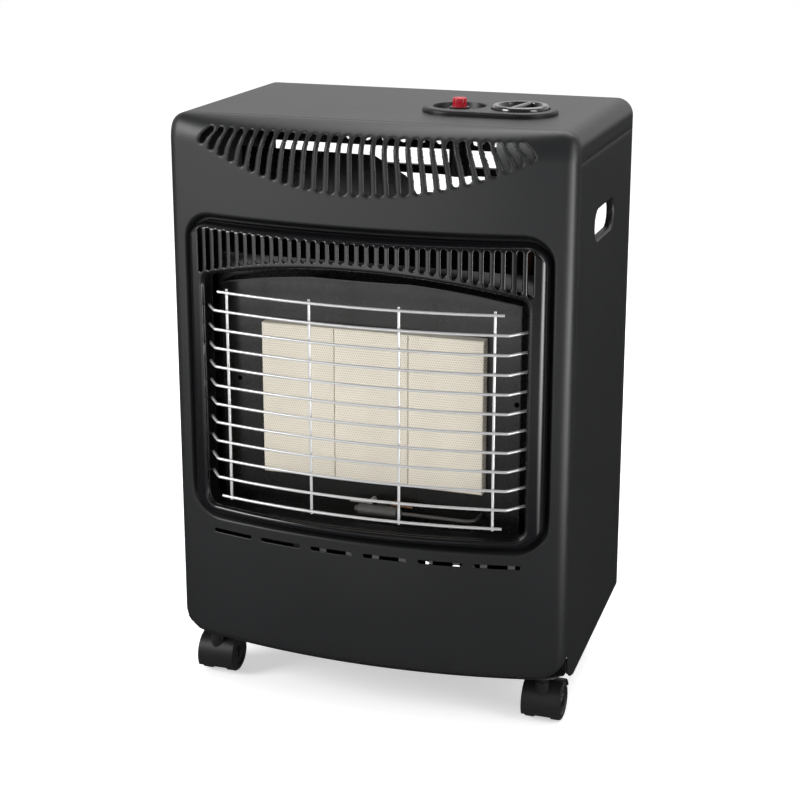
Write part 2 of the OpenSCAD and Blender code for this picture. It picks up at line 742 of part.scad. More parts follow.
module control_plate() color("#151517") placed() {
  well_b = 52;
  well_k = knob_d + 2;
  difference() {
    union() {
      for (x = [button_x, knob_x])
        translate([x, controls_y, top]) cylinder(r = plate_radius, h = plate_height, $fn = 96);
      translate([button_x, controls_y - plate_radius, top])
        cube([knob_x - button_x, 2 * plate_radius, plate_height]);
      translate([button_x, controls_y, top - 2.8]) cylinder(d = well_b + 3, h = 4);
      translate([knob_x, controls_y, top - 5]) cylinder(d = well_k + 3, h = 7);
    }
    translate([button_x, controls_y, top - 1]) cylinder(d = well_b, h = 20);
    translate([knob_x, controls_y, top - 3]) cylinder(d = well_k, h = 20);
    translate([button_x, controls_y, top - 10]) cylinder(d = button_d + 6.4, h = 20);
    translate([knob_x, controls_y, top - 10]) cylinder(d = 12.4, h = 20);
  }
}

module igniter_body() color("#1b1b1d") placed() {
  difference() {
    union() {
      rod(button_x, controls_y, top - 64, top + 4, button_d + 6);
      rod(button_x, controls_y, top - 1 + seat, top + 1.6, button_d + 13);
    }
    rod(button_x, controls_y, top - 9, top + 10, button_d + 2 * run_gap);
    rod(button_x, controls_y, top - 38, top - 8, 8 + 2 * run_gap);
  }
}

module igniter_nut() color("#9fa2a6") placed() {
  difference() {
    translate([button_x, controls_y, top - 2.8 - seat - 5]) cylinder(d = button_d + 16, h = 5, $fn = 6);
    translate([button_x, controls_y, top - 12]) cylinder(d = button_d + 6.06, h = 12);
  }
}

module igniter_button() color("#c81f2e") placed() {
  difference() {
    union() {
      rod(button_x, controls_y, top - 1.6, top + 12.4, button_d);
      rod(button_x, controls_y, top + 11.8, top + 13, button_d - 1.6);
      rod(button_x, controls_y, top - 31, top - 1, 8);
    }
    for (a = [0:30:330])
      translate([button_x, controls_y, top + 5]) rotate([0, 0, a])
        translate([button_d / 2 - 0.6, -0.6, 0]) cube([2, 1.2, 10]);
  }
}

// ---- pipes ----

// A quarter bend between two pipes, about the given corner, in the plane of Y and Z.
module bend_down(x, y, z, r, d) {
  translate([x, y - r, z + r]) rotate([90, 0, 90]) rotate([0, 0, -90])
    rotate_extrude(angle = 90) translate([r, 0]) circle(d = d, $fn = 32);
}

module supply_pipe() color("#b87333") placed() {
  translate([knob_x, controls_y + 14, inlet_z]) rotate([-90, 0, 0])
    cylinder(d = pipe_d, h = shell_back - 13.6 - controls_y - 14, $fn = 32);
}

module main_pipe() color("#b87333") placed() {
  x = knob_x + 11;
  r = 18;
  rod(x, controls_y, manifold_z + r, valve_low + 4, pipe_d);
  bend_down(x, controls_y, manifold_z, r, pipe_d);
  translate([x, manifold_y + 6.2, manifold_z]) rotate([-90, 0, 0])
    cylinder(d = pipe_d, h = controls_y - r - manifold_y - 6.2, $fn = 32);
}

module pilot_pipe() color("#5f5d58") placed() {
  x = knob_x - 12;
  y = controls_y - 8;
  r = 12;
  rod(x, y, pilot_z + r, valve_low + 4, pilot_pipe_d);
  bend_down(x, y, pilot_z, r, pilot_pipe_d);
  translate([x, pilot_y + r, pilot_z]) rotate([-90, 0, 0])
    cylinder(d = pilot_pipe_d, h = y - r - pilot_y - r, $fn = 32);
  translate([x - r, pilot_y + r, pilot_z]) rotate([0, 0, -90])
    rotate_extrude(angle = 90) translate([r, 0]) circle(d = pilot_pipe_d, $fn = 32);
  translate([pilot_x + 18.5, pilot_y, pilot_z]) rotate([0, 90, 0])
    cylinder(d = pilot_pipe_d, h = x - r - pilot_x - 18.5, $fn = 32);
}

module hose_inlet() color("#c9a24f") placed() {
  y = shell_back;
  difference() {
    union() {
      translate([knob_x, y - 8 - sheet, inlet_z]) rotate([-90, 0, 0]) cylinder(d = 19.6, h = 7.8, $fn = 6);
      translate([knob_x, y - 14, inlet_z]) rotate([-90, 0, 0]) cylinder(d = 12, h = 22);
      translate([knob_x, y + 0.2, inlet_z]) rotate([-90, 0, 0]) cylinder(d = 19.6, h = 6, $fn = 6);
      translate([knob_x, y + 7, inlet_z]) rotate([-90, 0, 0]) cylinder(d = nozzle_d, h = nozzle_length + 1);
    }
    translate([knob_x, y - 20, inlet_z]) rotate([-90, 0, 0]) cylinder(d = pipe_d + 0.04, h = 9);
    translate([knob_x, y - 12, inlet_z]) rotate([-90, 0, 0]) cylinder(d = 5, h = 60);
  }
}

// ---- base ----

module base_pan() color("#1b1b1d") placed() {
  difference() {
    union() {
      translate([0, 0, base_z]) linear_extrude(height = sheet) intersection() {
        front_plan(4);
        translate([-half + 7, seam - 60]) square([cabinet_width - 14, 61]);
      }
      translate([0, 0, base_z]) linear_extrude(height = 17) difference() {
        front_plan(front_flange + 0.6);
        front_plan(front_flange + 0.6 + sheet);
        translate([-half, seam - 8]) square([cabinet_width, 12]);
      }
      translate([-inner, seam + 0.5, base_z]) cube([2 * inner, 40, sheet]);
      translate([-shelf_half_width, seam + 30, base_z]) cube([2 * shelf_half_width, pan_reach - 30, sheet]);
      for (s = [-1, 1]) translate([s > 0 ? inner - sheet : -inner, seam + 0.5, base_z]) cube([sheet, 40, 17]);
      translate([-shelf_half_width, shield_y - 0.5 - seat - sheet, base_z])
        cube([2 * shelf_half_width, sheet, 24]);
    }
    for (s = [-1, 1])
      translate([s * castor_front_x, seam + castor_front_back, base_z - 1]) cylinder(d = 17, h = 5);
    for (x = [-100:50:100])
      translate([x, seam + 14, base_z - 1]) cylinder(d = 14, h = 4);
    for (s = [-1, 1])
      translate([s * shelf_screw_x, seam + shelf_screw_back, base_z - 1]) cylinder(d = 5.2, h = 4);
  }
}

module cylinder_shelf() color("#1b1b1d") placed() {
  y0 = seam + shelf_start;
  z0 = base_top + 0.1;
  difference() {
    union() {
      translate([-shelf_half_width, y0, z0]) cube([2 * shelf_half_width, shelf_end - y0, sheet]);
      for (s = [-1, 1])
        translate([s > 0 ? shelf_half_width - sheet : -shelf_half_width, y0 + 24, z0])
          cube([sheet, shelf_end - y0 - 24, shelf_rim]);
      translate([-shelf_half_width, shelf_end - sheet, z0]) cube([2 * shelf_half_width, sheet, shelf_rim]);
    }
    for (s = [-1, 1])
      translate([s * castor_rear_x, seam + castor_rear_back, z0 - 1]) cylinder(d = 17, h = 5);
    for (s = [-1, 1])
      translate([s * shelf_screw_x, seam + shelf_screw_back, z0 - 1]) cylinder(d = 5.2, h = 4);
    for (x = [-60:40:60])
      translate([x, seam + 230, z0 - 1]) cylinder(d = 16, h = 4);
  }
}

// A slotted pan-head screw: its head stands on Z = 0 and its shank reaches down by the given length.
module pan_head(d, shank) {
  difference() {
    union() {
      translate([0, 0, -shank]) cylinder(d = d, h = shank + 0.1, $fn = 32);
      cylinder(d = 2 * d, h = 2.2, $fn = 32);
    }
    translate([-d, -0.5, 1.2]) cube([2 * d, 1, 2]);
  }
}

module panel_screws() color("#a8aaad") placed() {
  for (s = [-1, 1]) for (z = [120, notch_z - 30])
    translate([s * (half - shield_screw_inset), shield_y + 0.5 + seat, z]) rotate([-90, 0, 0]) pan_head(4.4, 6);
}

module shelf_screws() color("#a8aaad") placed() {
  for (s = [-1, 1])
    translate([s * shelf_screw_x, seam + shelf_screw_back, base_z - seat]) mirror([0, 0, 1])
      pan_head(5, 2 * sheet + 0.1 + seat);
}

// ---- castors ----

module castor_plate(x, y, top) {
  translate([x, y, 0]) difference() {
    union() {
      translate([-19, -19, top - 2.5]) cube([38, 38, 2.4]);
      rod(0, 0, top - 1, top + 16, 16);
    }
    rod(0, 0, 40, top + 14, stem_d + 2 * run_gap);
  }
}

module castor_hood(x, y, top) {
  g = wheel_gap / 2 - 0.4;
  w = wheel_gap / 2 + wheel_w;
  ro = wheel_r + 2.4;
  ri = wheel_r + 0.7;
  translate([x, y, 0]) difference() {
    union() {
      difference() {
        translate([-w, castor_trail, wheel_r]) rotate([0, 90, 0]) cylinder(r = ro, h = 2 * w);
        for (s = [-1, 1])
          translate([s > 0 ? g : -w - 1, castor_trail, wheel_r]) rotate([0, 90, 0])
            cylinder(r = ri, h = w + 1 - g);
        along_x(-w - 1, w + 1)
          polygon([[castor_trail, wheel_r], [castor_trail + 60, wheel_r + 26],
            [castor_trail + 60, -20], [castor_trail - 60, -20], [castor_trail - 60, 9], [castor_trail, 9]]);
      }
      intersection() {
        translate([-g, castor_trail, wheel_r]) rotate([0, 90, 0]) cylinder(r = ri, h = 2 * g);
        translate([-g, castor_trail - 30, 9]) cube([2 * g, 60, 40]);
      }
      rod(0, 0, wheel_r + 4, 45.2, 2 * g);
      rod(0, 0, 45, top - 2.9, 2 * g - 2);
      rod(0, 0, 44, top + 12, stem_d);
    }
    translate([-w - 2, castor_trail, wheel_r]) rotate([0, 90, 0]) cylinder(d = 5.04, h = 2 * w + 4, $fn = 32);
  }
}

module axle(x, y) {
  w = wheel_gap / 2 + wheel_w;
  translate([x, y + castor_trail, wheel_r]) rotate([0, 90, 0]) {
    translate([0, 0, -w - 0.8]) cylinder(d = 5, h = 2 * w + 1.6, $fn = 32);
    for (s = [-1, 1]) translate([0, 0, s > 0 ? w + 0.3 : -w - 1.3]) cylinder(d = 9, h = 1, $fn = 32);
  }
}

module wheel(x, y, s) {
  w = wheel_w;
  translate([x + s * wheel_gap / 2, y + castor_trail, wheel_r]) rotate([0, s * 90, 0])
    rotate_extrude($fn = 96)
      polygon([[2.5 + run_gap, 0], [wheel_r - 1.6, 0], [wheel_r, 1.6], [wheel_r, w - 2.4],
        [wheel_r - 0.8, w - 1],
        [wheel_r - 2.6, w], [14, w], [13, w - 1.6], [7, w - 1.6], [6, w - 0.2], [2.5 + run_gap, w - 0.2]]);
}

fy = seam + castor_front_back;
ry = seam + castor_rear_back;
rt = base_top + 0.1;

module castor_plate_fl() color("#5f6265") placed() castor_plate(-castor_front_x, fy, base_z);
module castor_plate_fr() color("#5f6265") placed() castor_plate(castor_front_x, fy, base_z);
module castor_plate_rl() color("#5f6265") placed() castor_plate(-castor_rear_x, ry, rt);
module castor_plate_rr() color("#5f6265") placed() castor_plate(castor_rear_x, ry, rt);
module castor_hood_fl() color("#232327") placed() castor_hood(-castor_front_x, fy, base_z);
module castor_hood_fr() color("#232327") placed() castor_hood(castor_front_x, fy, base_z);
module castor_hood_rl() color("#232327") placed() castor_hood(-castor_rear_x, ry, rt);
module castor_hood_rr() color("#232327") placed() castor_hood(castor_rear_x, ry, rt);
module axle_fl() color("#909396") placed() axle(-castor_front_x, fy);
module axle_fr() color("#909396") placed() axle(castor_front_x, fy);
module axle_rl() color("#909396") placed() axle(-castor_rear_x, ry);
module axle_rr() color("#909396") placed() axle(castor_rear_x, ry);
module wheel_fl_a() color("#2b2b2f") placed() wheel(-castor_front_x, fy, -1);
module wheel_fl_b() color("#2b2b2f") placed() wheel(-castor_front_x, fy, 1);
module wheel_fr_a() color("#2b2b2f") placed() wheel(castor_front_x, fy, -1);
module wheel_fr_b() color("#2b2b2f") placed() wheel(castor_front_x, fy, 1);
module wheel_rl_a() color("#2b2b2f") placed() wheel(-castor_rear_x, ry, -1);
module wheel_rl_b() color("#2b2b2f") placed() wheel(-castor_rear_x, ry, 1);
module wheel_rr_a() color("#2b2b2f") placed() wheel(castor_rear_x, ry, -1);
module wheel_rr_b() color("#2b2b2f") placed() wheel(castor_rear_x, ry, 1);

outer_shell();
front_panel();
louvre_bezel();
wire_guard();
reflector_housing();
heat_shield();
rear_brace();
base_pan();
cylinder_shelf();
plaque_left();
plaque_centre();
plaque_right();
burner_left();
burner_centre();
burner_right();
gas_manifold();
injectors();
pilot_burner();
thermocouple();
spark_electrode();
gas_valve();
valve_plug();
valve_spindle();
control_knob();
control_plate();
igniter_body();
igniter_nut();
igniter_button();
supply_pipe();
main_pipe();
pilot_pipe();
hose_inlet();
panel_screws();
shelf_screws();
castor_plate_fl();
castor_plate_fr();
castor_plate_rl();
castor_plate_rr();
castor_hood_fl();
castor_hood_fr();
castor_hood_rl();
castor_hood_rr();
axle_fl();
axle_fr();
axle_rl();
axle_rr();
wheel_fl_a();
wheel_fl_b();
wheel_fr_a();
wheel_fr_b();
wheel_rl_a();
wheel_rl_b();
wheel_rr_a();
wheel_rr_b();
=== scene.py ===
import json
import math

import bpy
import numpy as np
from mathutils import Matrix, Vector


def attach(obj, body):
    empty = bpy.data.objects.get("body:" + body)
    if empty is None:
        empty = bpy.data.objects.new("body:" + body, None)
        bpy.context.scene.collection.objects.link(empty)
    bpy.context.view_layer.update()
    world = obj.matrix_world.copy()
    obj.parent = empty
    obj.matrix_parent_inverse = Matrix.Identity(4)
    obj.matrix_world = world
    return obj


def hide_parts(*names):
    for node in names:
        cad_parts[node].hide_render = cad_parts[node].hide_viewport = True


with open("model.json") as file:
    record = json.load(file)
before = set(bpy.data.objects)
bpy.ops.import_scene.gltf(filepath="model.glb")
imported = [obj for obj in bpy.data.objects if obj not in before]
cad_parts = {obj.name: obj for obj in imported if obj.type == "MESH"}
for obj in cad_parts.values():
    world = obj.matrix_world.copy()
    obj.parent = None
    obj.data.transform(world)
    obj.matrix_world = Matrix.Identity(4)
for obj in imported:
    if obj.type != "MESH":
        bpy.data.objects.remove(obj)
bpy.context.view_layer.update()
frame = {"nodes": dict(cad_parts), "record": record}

# All shapes are worked out in millimetres from the cabinet's own origin: X across, Y to the back with
# the front seam at -100, Z up from the floor. to_frame() carries them into the frame, in metres.
SHIFT_Y = -42.95  # the frame's Y less the cabinet's own
SEAM = -100.0  # where the front panel meets the shell
BACK = 130.0  # the shell's rear edge
HALF = 205.0  # half of the cabinet's width
TOP = 600.0  # height of the cabinet's top
TOP_ROUND = 17.0  # radius of the top's corners
SHEET = 1.1  # thickness of the painted sheet

FRONT_DEPTH = 41.0  # how far the front panel bows out
FRONT_LOW = 59.0  # height of its lower edge
FRONT_CORNER = 28.0  # radius of its lower corners
FRONT_FLANGE = 12.0  # depth of the flange along its lower edge
LOW_ROUND = 6.0  # radius between the flange and the wall
SIDE_ROLL = 14.4  # radius of the roll at each of its sides
ROLL_Z = 572.0  # height where its top starts to roll back
ROLL_X = HALF - SIDE_ROLL
BOW_R = (ROLL_X ** 2 + FRONT_DEPTH ** 2 - SIDE_ROLL ** 2) / (2 * (FRONT_DEPTH - SIDE_ROLL))
TOUCH_X = ROLL_X * BOW_R / (BOW_R - SIDE_ROLL)

VENT_R, VENT_TOP = 3.0, 590.0
VENT_ARC, VENT_FOOT = 373.0, 536.0  # the arc that the slots' feet stand on, lowest in the middle
LOW_SLOT_R, LOW_SLOT_REACH, LOW_SLOT_PITCH, LOW_SLOT_Z = 2.0, 20.0, 55.7, 177.0
RECESS = (188, 189, 506, 30, 35)  # half width, low, high, upper and lower corner radius
RECESS_DEPTH, RECESS_SLOPE = 9.0, 6.0

HAND_LONG, HAND_HIGH, HAND_Y, HAND_Z = 90.0, 35.0, 10.0, 498.0  # the hand hole's size and middle
HAND_LIP = 3.0  # radius of the hand hole's lip
SIDE_TOP = TOP - 30  # where each side's sheet meets the top's
PAN_Z = FRONT_LOW - 1.23  # underside of the base pan
SHIELD_Y = -2.6  # the face that the heat shield lies against

BEZEL_FRONT = SEAM - FRONT_DEPTH - 11.1  # it stands 11.1 mm proud of the panel
BEZEL_R, BEZEL_HALF, BEZEL_ROUND = 567.0, 183.0, 7.0
LOUVRE_R, LOUVRE_PITCH, LOUVRE_TOP = 2.5, 9.8, 489.5
LOUVRE_ARC, LOUVRE_FOOT = 564.0, 473.0  # the arc that the louvres' feet stand on, highest in the middle
WINDOW_Z = 330.0  # a height well inside the window

WIRE_R, WIRE_BOW, WIRE_COUNT = 1.4, 692.0, 12
WIRE_LOW, WIRE_HIGH = 220.3, 431.2

KNOB_X, BUTTON_X, CONTROLS_Y = 123.0, 61.5, -9.0
PLATE_TOP, PLATE_R = 605.2, 36.5  # the control plate's height and the radius of its ends
CASTOR_X, CASTOR_Y, STEM_BORE = 177.0, -88.0, 4.1  # the front castors' stems


# ---------------------------------------------------------------- mesh helpers

def to_frame(points):
    """Millimetres from the cabinet's origin to metres in the frame: (x, y + shift, z) / 1000."""
    p = np.array(points, dtype=float).reshape(-1, 3)
    p[:, 1] += SHIFT_Y
    return p / 1000.0


def spread(x, y, z):
    """Three coordinates, each given along the rows, the columns or both, as one grid of points."""
    return np.stack(np.broadcast_arrays(x, y, z), -1)


def grid_faces(rows, cols, ring=False):
    """Quads (i, j), (i, j+1), (i+1, j+1), (i+1, j); with ring, the last column joins the first."""
    i, j = np.meshgrid(np.arange(rows - 1), np.arange(cols if ring else cols - 1), indexing="ij")
    k = (j + 1) % cols
    quads = [i * cols + j, i * cols + k, (i + 1) * cols + k, (i + 1) * cols + j]
    return np.stack(quads, -1).reshape(-1, 4)


def face_middles(points, faces):
    """The mean of each face's corners."""
    return np.asarray(points, float).reshape(-1, 3)[faces].mean(1)


def facing(points, faces, towards):
    """Turns all faces over if, on the whole, they look away from a direction, given once or for each face.

    A quad's normal is the cross product of its diagonals."""
    p = np.asarray(points, float).reshape(-1, 3)[faces]
    normals = np.cross(p[:, 2] - p[:, 0], p[:, 3] - p[:, 1])
    return faces if (normals * towards).sum() >= 0 else faces[:, ::-1]


def facing_out(points, faces, centre, axes=(1, 1, 1)):
    """Turns all faces over if, on the whole, they look towards a centre; axes weighs X, Y and Z."""
    return facing(points, faces, (face_middles(points, faces) - centre) * axes)


def sheet(grid, towards, ring=False):
    """A grid of points as a pair of points and faces that look towards a direction."""
    return grid, facing(grid, grid_faces(*grid.shape[:2], ring), towards)


def compact(points, faces):
    """Drops the points that no face uses."""
    used, back = np.unique(faces, return_inverse=True)
    return points.reshape(-1, 3)[used], back.reshape(faces.shape)


def joined(parts):
    """Several pairs of points and faces as one pair."""
    points, faces, count = [], [], 0
    for p, f in parts:
        p = np.asarray(p, float).reshape(-1, 3)
        points.append(p)
        faces.append(np.asarray(f) + count)
        count += len(p)
    return np.concatenate(points), np.concatenate(faces)


def add_piece(name, surface, slot, nodes=(), body="cabinet", smooth=True, wall=0.0, angle=None):
    """A mesh piece from points in millimetres and faces, in its slot's material.

    wall thickens it inwards by that many millimetres, and edges sharper than angle stay sharp."""
    points, faces = surface
    mesh = bpy.data.meshes.new(name)
    mesh.from_pydata(to_frame(points).tolist(), [], faces.tolist())
    mesh.update()
    mesh.polygons.foreach_set("use_smooth", np.full(len(mesh.polygons), smooth))
    mesh.materials.append(MATERIALS[slot])
    ob = bpy.data.objects.new(name, mesh)
    bpy.context.scene.collection.objects.link(ob)
    if angle is not None:
        mesh.set_sharp_from_angle(angle=math.radians(angle))
    if wall:
        thickness = ob.modifiers.new("wall", "SOLIDIFY")
        thickness.thickness = wall / 1000.0
        thickness.offset = -1.0
        thickness.use_even_offset = False
        thickness.use_rim = True
    if wall and angle is not None:
        ob.modifiers.new("even_shading", "WEIGHTED_NORMAL").keep_sharp = True
    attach(ob, body)
    if nodes:
        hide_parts(*nodes)


def turned(profile, x, y, steps):
    """A profile of (radius, height) rows turned about an upright axis at (x, y).

    A radius or a height is one number, or one for each of the steps round the axis."""
    t = np.linspace(0, 2 * np.pi, steps, endpoint=False)
    c, s = np.cos(t), np.sin(t)
    return np.stack([spread(x + r * c, y + r * s, h) for r, h in profile])


def wire(path, radius, sides=12):
    """A round wire along a path: rings of one radius set square to the path, drawn in to close the ends."""
    p = np.asarray(path, float)
    along = np.gradient(p, axis=0)
    along /= np.linalg.norm(along, axis=1)[:, None]
    up = (0, 0, 1.0) if abs(along[0, 2]) < 0.9 else (0, 1.0, 0)
    a = np.cross(along, up)
    a /= np.linalg.norm(a, axis=1)[:, None]
    b = np.cross(along, a)
    t = np.linspace(0, 2 * np.pi, sides, endpoint=False)[None, :, None]
    rings = p[:, None] + radius * (np.cos(t) * a[:, None] + np.sin(t) * b[:, None])
    first = rings[:1] * 0.02 + p[:1, None] * 0.98
    last = rings[-1:] * 0.02 + p[-1:, None] * 0.98
    rings = np.concatenate([first, rings, last])
    faces = grid_faces(len(rings), sides, ring=True)
    middles = face_middles(rings, faces)
    nearest = np.abs(middles[:, None] - p[None]).sum(-1).argmin(1)
    return rings, facing(rings, faces, middles - p[nearest])


# ---------------------------------------------------------------- outlines seen from the front

def to_capsule(x, z, path, r):
    """Signed distance from (x, z) to a slot: the nearest distance to its centre line less its radius."""
    best = np.full(np.shape(x), 1e9)
    for (ax, az), (bx, bz) in zip(path[:-1], path[1:]):
        vx, vz = bx - ax, bz - az
        t = np.clip(((x - ax) * vx + (z - az) * vz) / (vx * vx + vz * vz), 0, 1)
        best = np.minimum(best, np.hypot(x - ax - t * vx, z - az - t * vz))
    return best - r


def to_round_box(x, z, half, low, high, upper_r, lower_r):
    """Signed distance to a rounded rectangle with its own upper and lower corner radii."""
    r = np.where(z > 0.5 * (low + high), upper_r, lower_r)
    qx = np.abs(x) - half + r
    qz = np.abs(z - 0.5 * (low + high)) - 0.5 * (high - low) + r
    return np.hypot(np.maximum(qx, 0), np.maximum(qz, 0)) + np.minimum(np.maximum(qx, qz), 0) - r


def snap(x, z, distance, reach):
    """Moves points closer than reach to an outline onto it, down the distance's own slope."""
    e = 0.02
    d = distance(x, z)
    slope_x = (distance(x + e, z) - distance(x - e, z)) / (2 * e)
    slope_z = (distance(x, z + e) - distance(x, z - e)) / (2 * e)
    steep = np.maximum(np.hypot(slope_x, slope_z), 0.3) ** 2
    near = np.abs(d) < reach
    return np.where(near, x - d * slope_x / steep, x), np.where(near, z - d * slope_z / steep, z)


def bow(x, middle, radius):
    """A bowed front: y = middle + R - sqrt(R^2 - x^2)."""
    return middle + radius - np.sqrt(radius ** 2 - x ** 2)


def panel_y(x):
    """The front panel's plan: a bow that runs into a roll at each side."""
    a = np.abs(x)
    side = SEAM - np.sqrt(np.maximum(SIDE_ROLL ** 2 - (a - ROLL_X) ** 2, 0))
    return np.where(a <= TOUCH_X, bow(np.minimum(a, TOUCH_X), SEAM - FRONT_DEPTH, BOW_R), side)


def upper_edge(x, high, half, r):
    """Height of a rounded rectangle's upper edge at x: high - r + sqrt(r^2 - a^2) over the corners."""
    a = np.clip(np.abs(x) - (half - r), 0, r)
    return high - r + np.sqrt(r * r - a * a)


def outward(outline):
    """Unit normals of a closed outline, pointing out of it."""
    t = np.roll(outline, -1, 0) - np.roll(outline, 1, 0)
    n = np.stack([t[:, 1], -t[:, 0]], -1)
    n /= np.linalg.norm(n, axis=1)[:, None]
    return n if (n * (outline - outline.mean(0))).sum() > 0 else -n


def reach_along(centre, rays, inside, far):
    """How far each ray from a centre stays inside an outline, found by halving between 0 and far."""
    low, high = np.zeros(len(rays)), np.full(len(rays), float(far))
    for _ in range(48):
        middle = 0.5 * (low + high)
        within = inside(centre + rays * middle[:, None])
        low, high = np.where(within, middle, low), np.where(within, high, middle)
    return low


# ---------------------------------------------------------------- materials

FLOAT, COLOUR, VECTOR = "NodeSocketFloat", "NodeSocketColor", "NodeSocketVector"


def shader_group(name, inputs, outputs):
    """A shader group with named sockets: inputs are (name, type, default) and outputs (name, type)."""
    group = bpy.data.node_groups.new(name, "ShaderNodeTree")
    for label, kind, value in inputs:
        socket = group.interface.new_socket(label, in_out="INPUT", socket_type=kind)
        if value is not None:
            socket.default_value = value
    for label, kind in outputs:
        group.interface.new_socket(label, in_out="OUTPUT", socket_type=kind)
    return group, group.nodes.new("NodeGroupInput").outputs, group.nodes.new("NodeGroupOutput").inputs


def add_node(tree, kind, sockets=None, **values):
    """A node with some of its properties set, and some of its sockets set or joined."""
    made = tree.nodes.new(kind)
    for label, value in values.items():
        setattr(made, label, value)
    for label, value in (sockets or {}).items():
        if hasattr(value, "is_output"):
            tree.links.new(value, made.inputs[label])
        else:
            made.inputs[label].default_value = value
    return made


def maths(tree, operation, a, b=None, clamp=False):
    """A maths node's output; a and b are sockets or numbers."""
    sockets = {0: a} if b is None else {0: a, 1: b}
    return add_node(tree, "ShaderNodeMath", sockets, operation=operation, use_clamp=clamp).outputs[0]


def mixed(tree, share, first, second, blend="MIX"):
    """A colour mix node's output."""
    sockets = {0: share, 6: first, 7: second}
    return add_node(tree, "ShaderNodeMix", sockets, data_type="RGBA", blend_type=blend).outputs[2]


def noise(tree, where, scale, detail=2.0):
    """A noise texture's value."""
    sockets = {"Vector": where, "Scale": scale, "Detail": detail}
    return add_node(tree, "ShaderNodeTexNoise", sockets).outputs["Fac"]


def make_surface_group():
    """Fine grain, broad mottling and scattered wear for any surface, from its own coordinates."""
    tree, given, out = shader_group(
        "surface_detail",
        [("Vector", VECTOR, None), ("Colour", COLOUR, (0.5, 0.5, 0.5, 1)),
         ("Worn Colour", COLOUR, (0.5, 0.5, 0.5, 1)), ("Roughness", FLOAT, 0.4),
         ("Roughness Spread", FLOAT, 0.08), ("Grain Scale", FLOAT, 1500.0), ("Grain Bump", FLOAT, 0.1),
         ("Mottle", FLOAT, 0.08), ("Wear", FLOAT, 0.1)],
        [("Colour", COLOUR), ("Roughness", FLOAT), ("Normal", VECTOR)])
    join = tree.links.new
    grain = noise(tree, given["Vector"], given["Grain Scale"])
    broad = maths(tree, "SUBTRACT", noise(tree, given["Vector"], 9, 4), 0.5)
    fleck = noise(tree, given["Vector"], 130, 6)
    mottle = maths(tree, "ADD", maths(tree, "MULTIPLY", broad, given["Mottle"]), 1.0)
    tinted = mixed(tree, 1.0, given["Colour"], mottle, "MULTIPLY")
    spots = maths(tree, "MULTIPLY", maths(tree, "SUBTRACT", fleck, 0.66), 9.0, clamp=True)
    worn = maths(tree, "MULTIPLY", spots, given["Wear"])
    join(mixed(tree, worn, tinted, given["Worn Colour"]), out["Colour"])
    fine = maths(tree, "MULTIPLY", maths(tree, "SUBTRACT", fleck, 0.5), given["Roughness Spread"])
    wide = maths(tree, "MULTIPLY", broad, given["Roughness Spread"])
    join(maths(tree, "ADD", given["Roughness"], maths(tree, "ADD", fine, wide)), out["Roughness"])
    bump = add_node(tree, "ShaderNodeBump",
                    {"Distance": 0.0002, "Strength": given["Grain Bump"], "Height": grain})
    join(bump.outputs["Normal"], out["Normal"])
    return tree


def make_pore_group():
    """Rows of small round holes in a staggered grid in X and Z, each with a soft edge, a dip and painted
    shade.
    """
    tree, given, out = shader_group(
        "plaque_pores",
        [("Vector", VECTOR, None), ("Pitch", FLOAT, 0.0024), ("Hole", FLOAT, 0.3),
         ("Colour", COLOUR, (0.74, 0.69, 0.59, 1)), ("Hole Shade Colour", COLOUR, (0.52, 0.47, 0.38, 1))],
        [("Colour", COLOUR), ("Normal", VECTOR)])
    join = tree.links.new
    place = add_node(tree, "ShaderNodeSeparateXYZ", {0: given["Vector"]}).outputs
    across = maths(tree, "DIVIDE", place["X"], given["Pitch"])
    upward = maths(tree, "DIVIDE", place["Z"], given["Pitch"])
    stagger = maths(tree, "MULTIPLY", maths(tree, "MODULO", maths(tree, "FLOOR", upward), 2.0), 0.5)
    u = maths(tree, "SUBTRACT", maths(tree, "FRACT", maths(tree, "ADD", across, stagger)), 0.5)
    w = maths(tree, "SUBTRACT", maths(tree, "FRACT", upward), 0.5)
    squares = maths(tree, "ADD", maths(tree, "MULTIPLY", u, u), maths(tree, "MULTIPLY", w, w))
    depth = maths(tree, "SUBTRACT", given["Hole"], maths(tree, "SQRT", squares))
    hole = maths(tree, "MULTIPLY", depth, 9.0, clamp=True)
    shade = maths(tree, "ADD", maths(tree, "MULTIPLY", noise(tree, given["Vector"], 40), 0.12), 0.94)
    tinted = mixed(tree, 1.0, given["Colour"], shade, "MULTIPLY")
    # The holes are mixed towards a darker colour: painted shade inside each hole.
    join(mixed(tree, hole, tinted, given["Hole Shade Colour"]), out["Colour"])
    bump = add_node(tree, "ShaderNodeBump", {"Distance": 0.0005, "Strength": 0.6, "Height": hole},
                    invert=True)
    join(bump.outputs["Normal"], out["Normal"])
    return tree


SURFACE = make_surface_group()
PORES = make_pore_group()


def detailed_material(name, group, group_values, surface_values):
    """A Principled material that takes its colour, its normal and, where the group gives one, its roughness
    from a group on the object's coordinates."""
    m = bpy.data.materials.new(name)
    m.use_nodes = True
    tree = m.node_tree
    tree.nodes.clear()
    where = add_node(tree, "ShaderNodeTexCoord").outputs["Object"]
    detail = add_node(tree, "ShaderNodeGroup", node_tree=group)
    tree.links.new(where, detail.inputs["Vector"])
    for label, value in group_values.items():
        detail.inputs[label].default_value = value
    surface = add_node(tree, "ShaderNodeBsdfPrincipled", surface_values)
    tree.links.new(detail.outputs["Colour"], surface.inputs["Base Color"])
    tree.links.new(detail.outputs["Normal"], surface.inputs["Normal"])
    if "Roughness" in detail.outputs:
        tree.links.new(detail.outputs["Roughness"], surface.inputs["Roughness"])
    tree.links.new(surface.outputs[0], add_node(tree, "ShaderNodeOutputMaterial").inputs["Surface"])
    return m


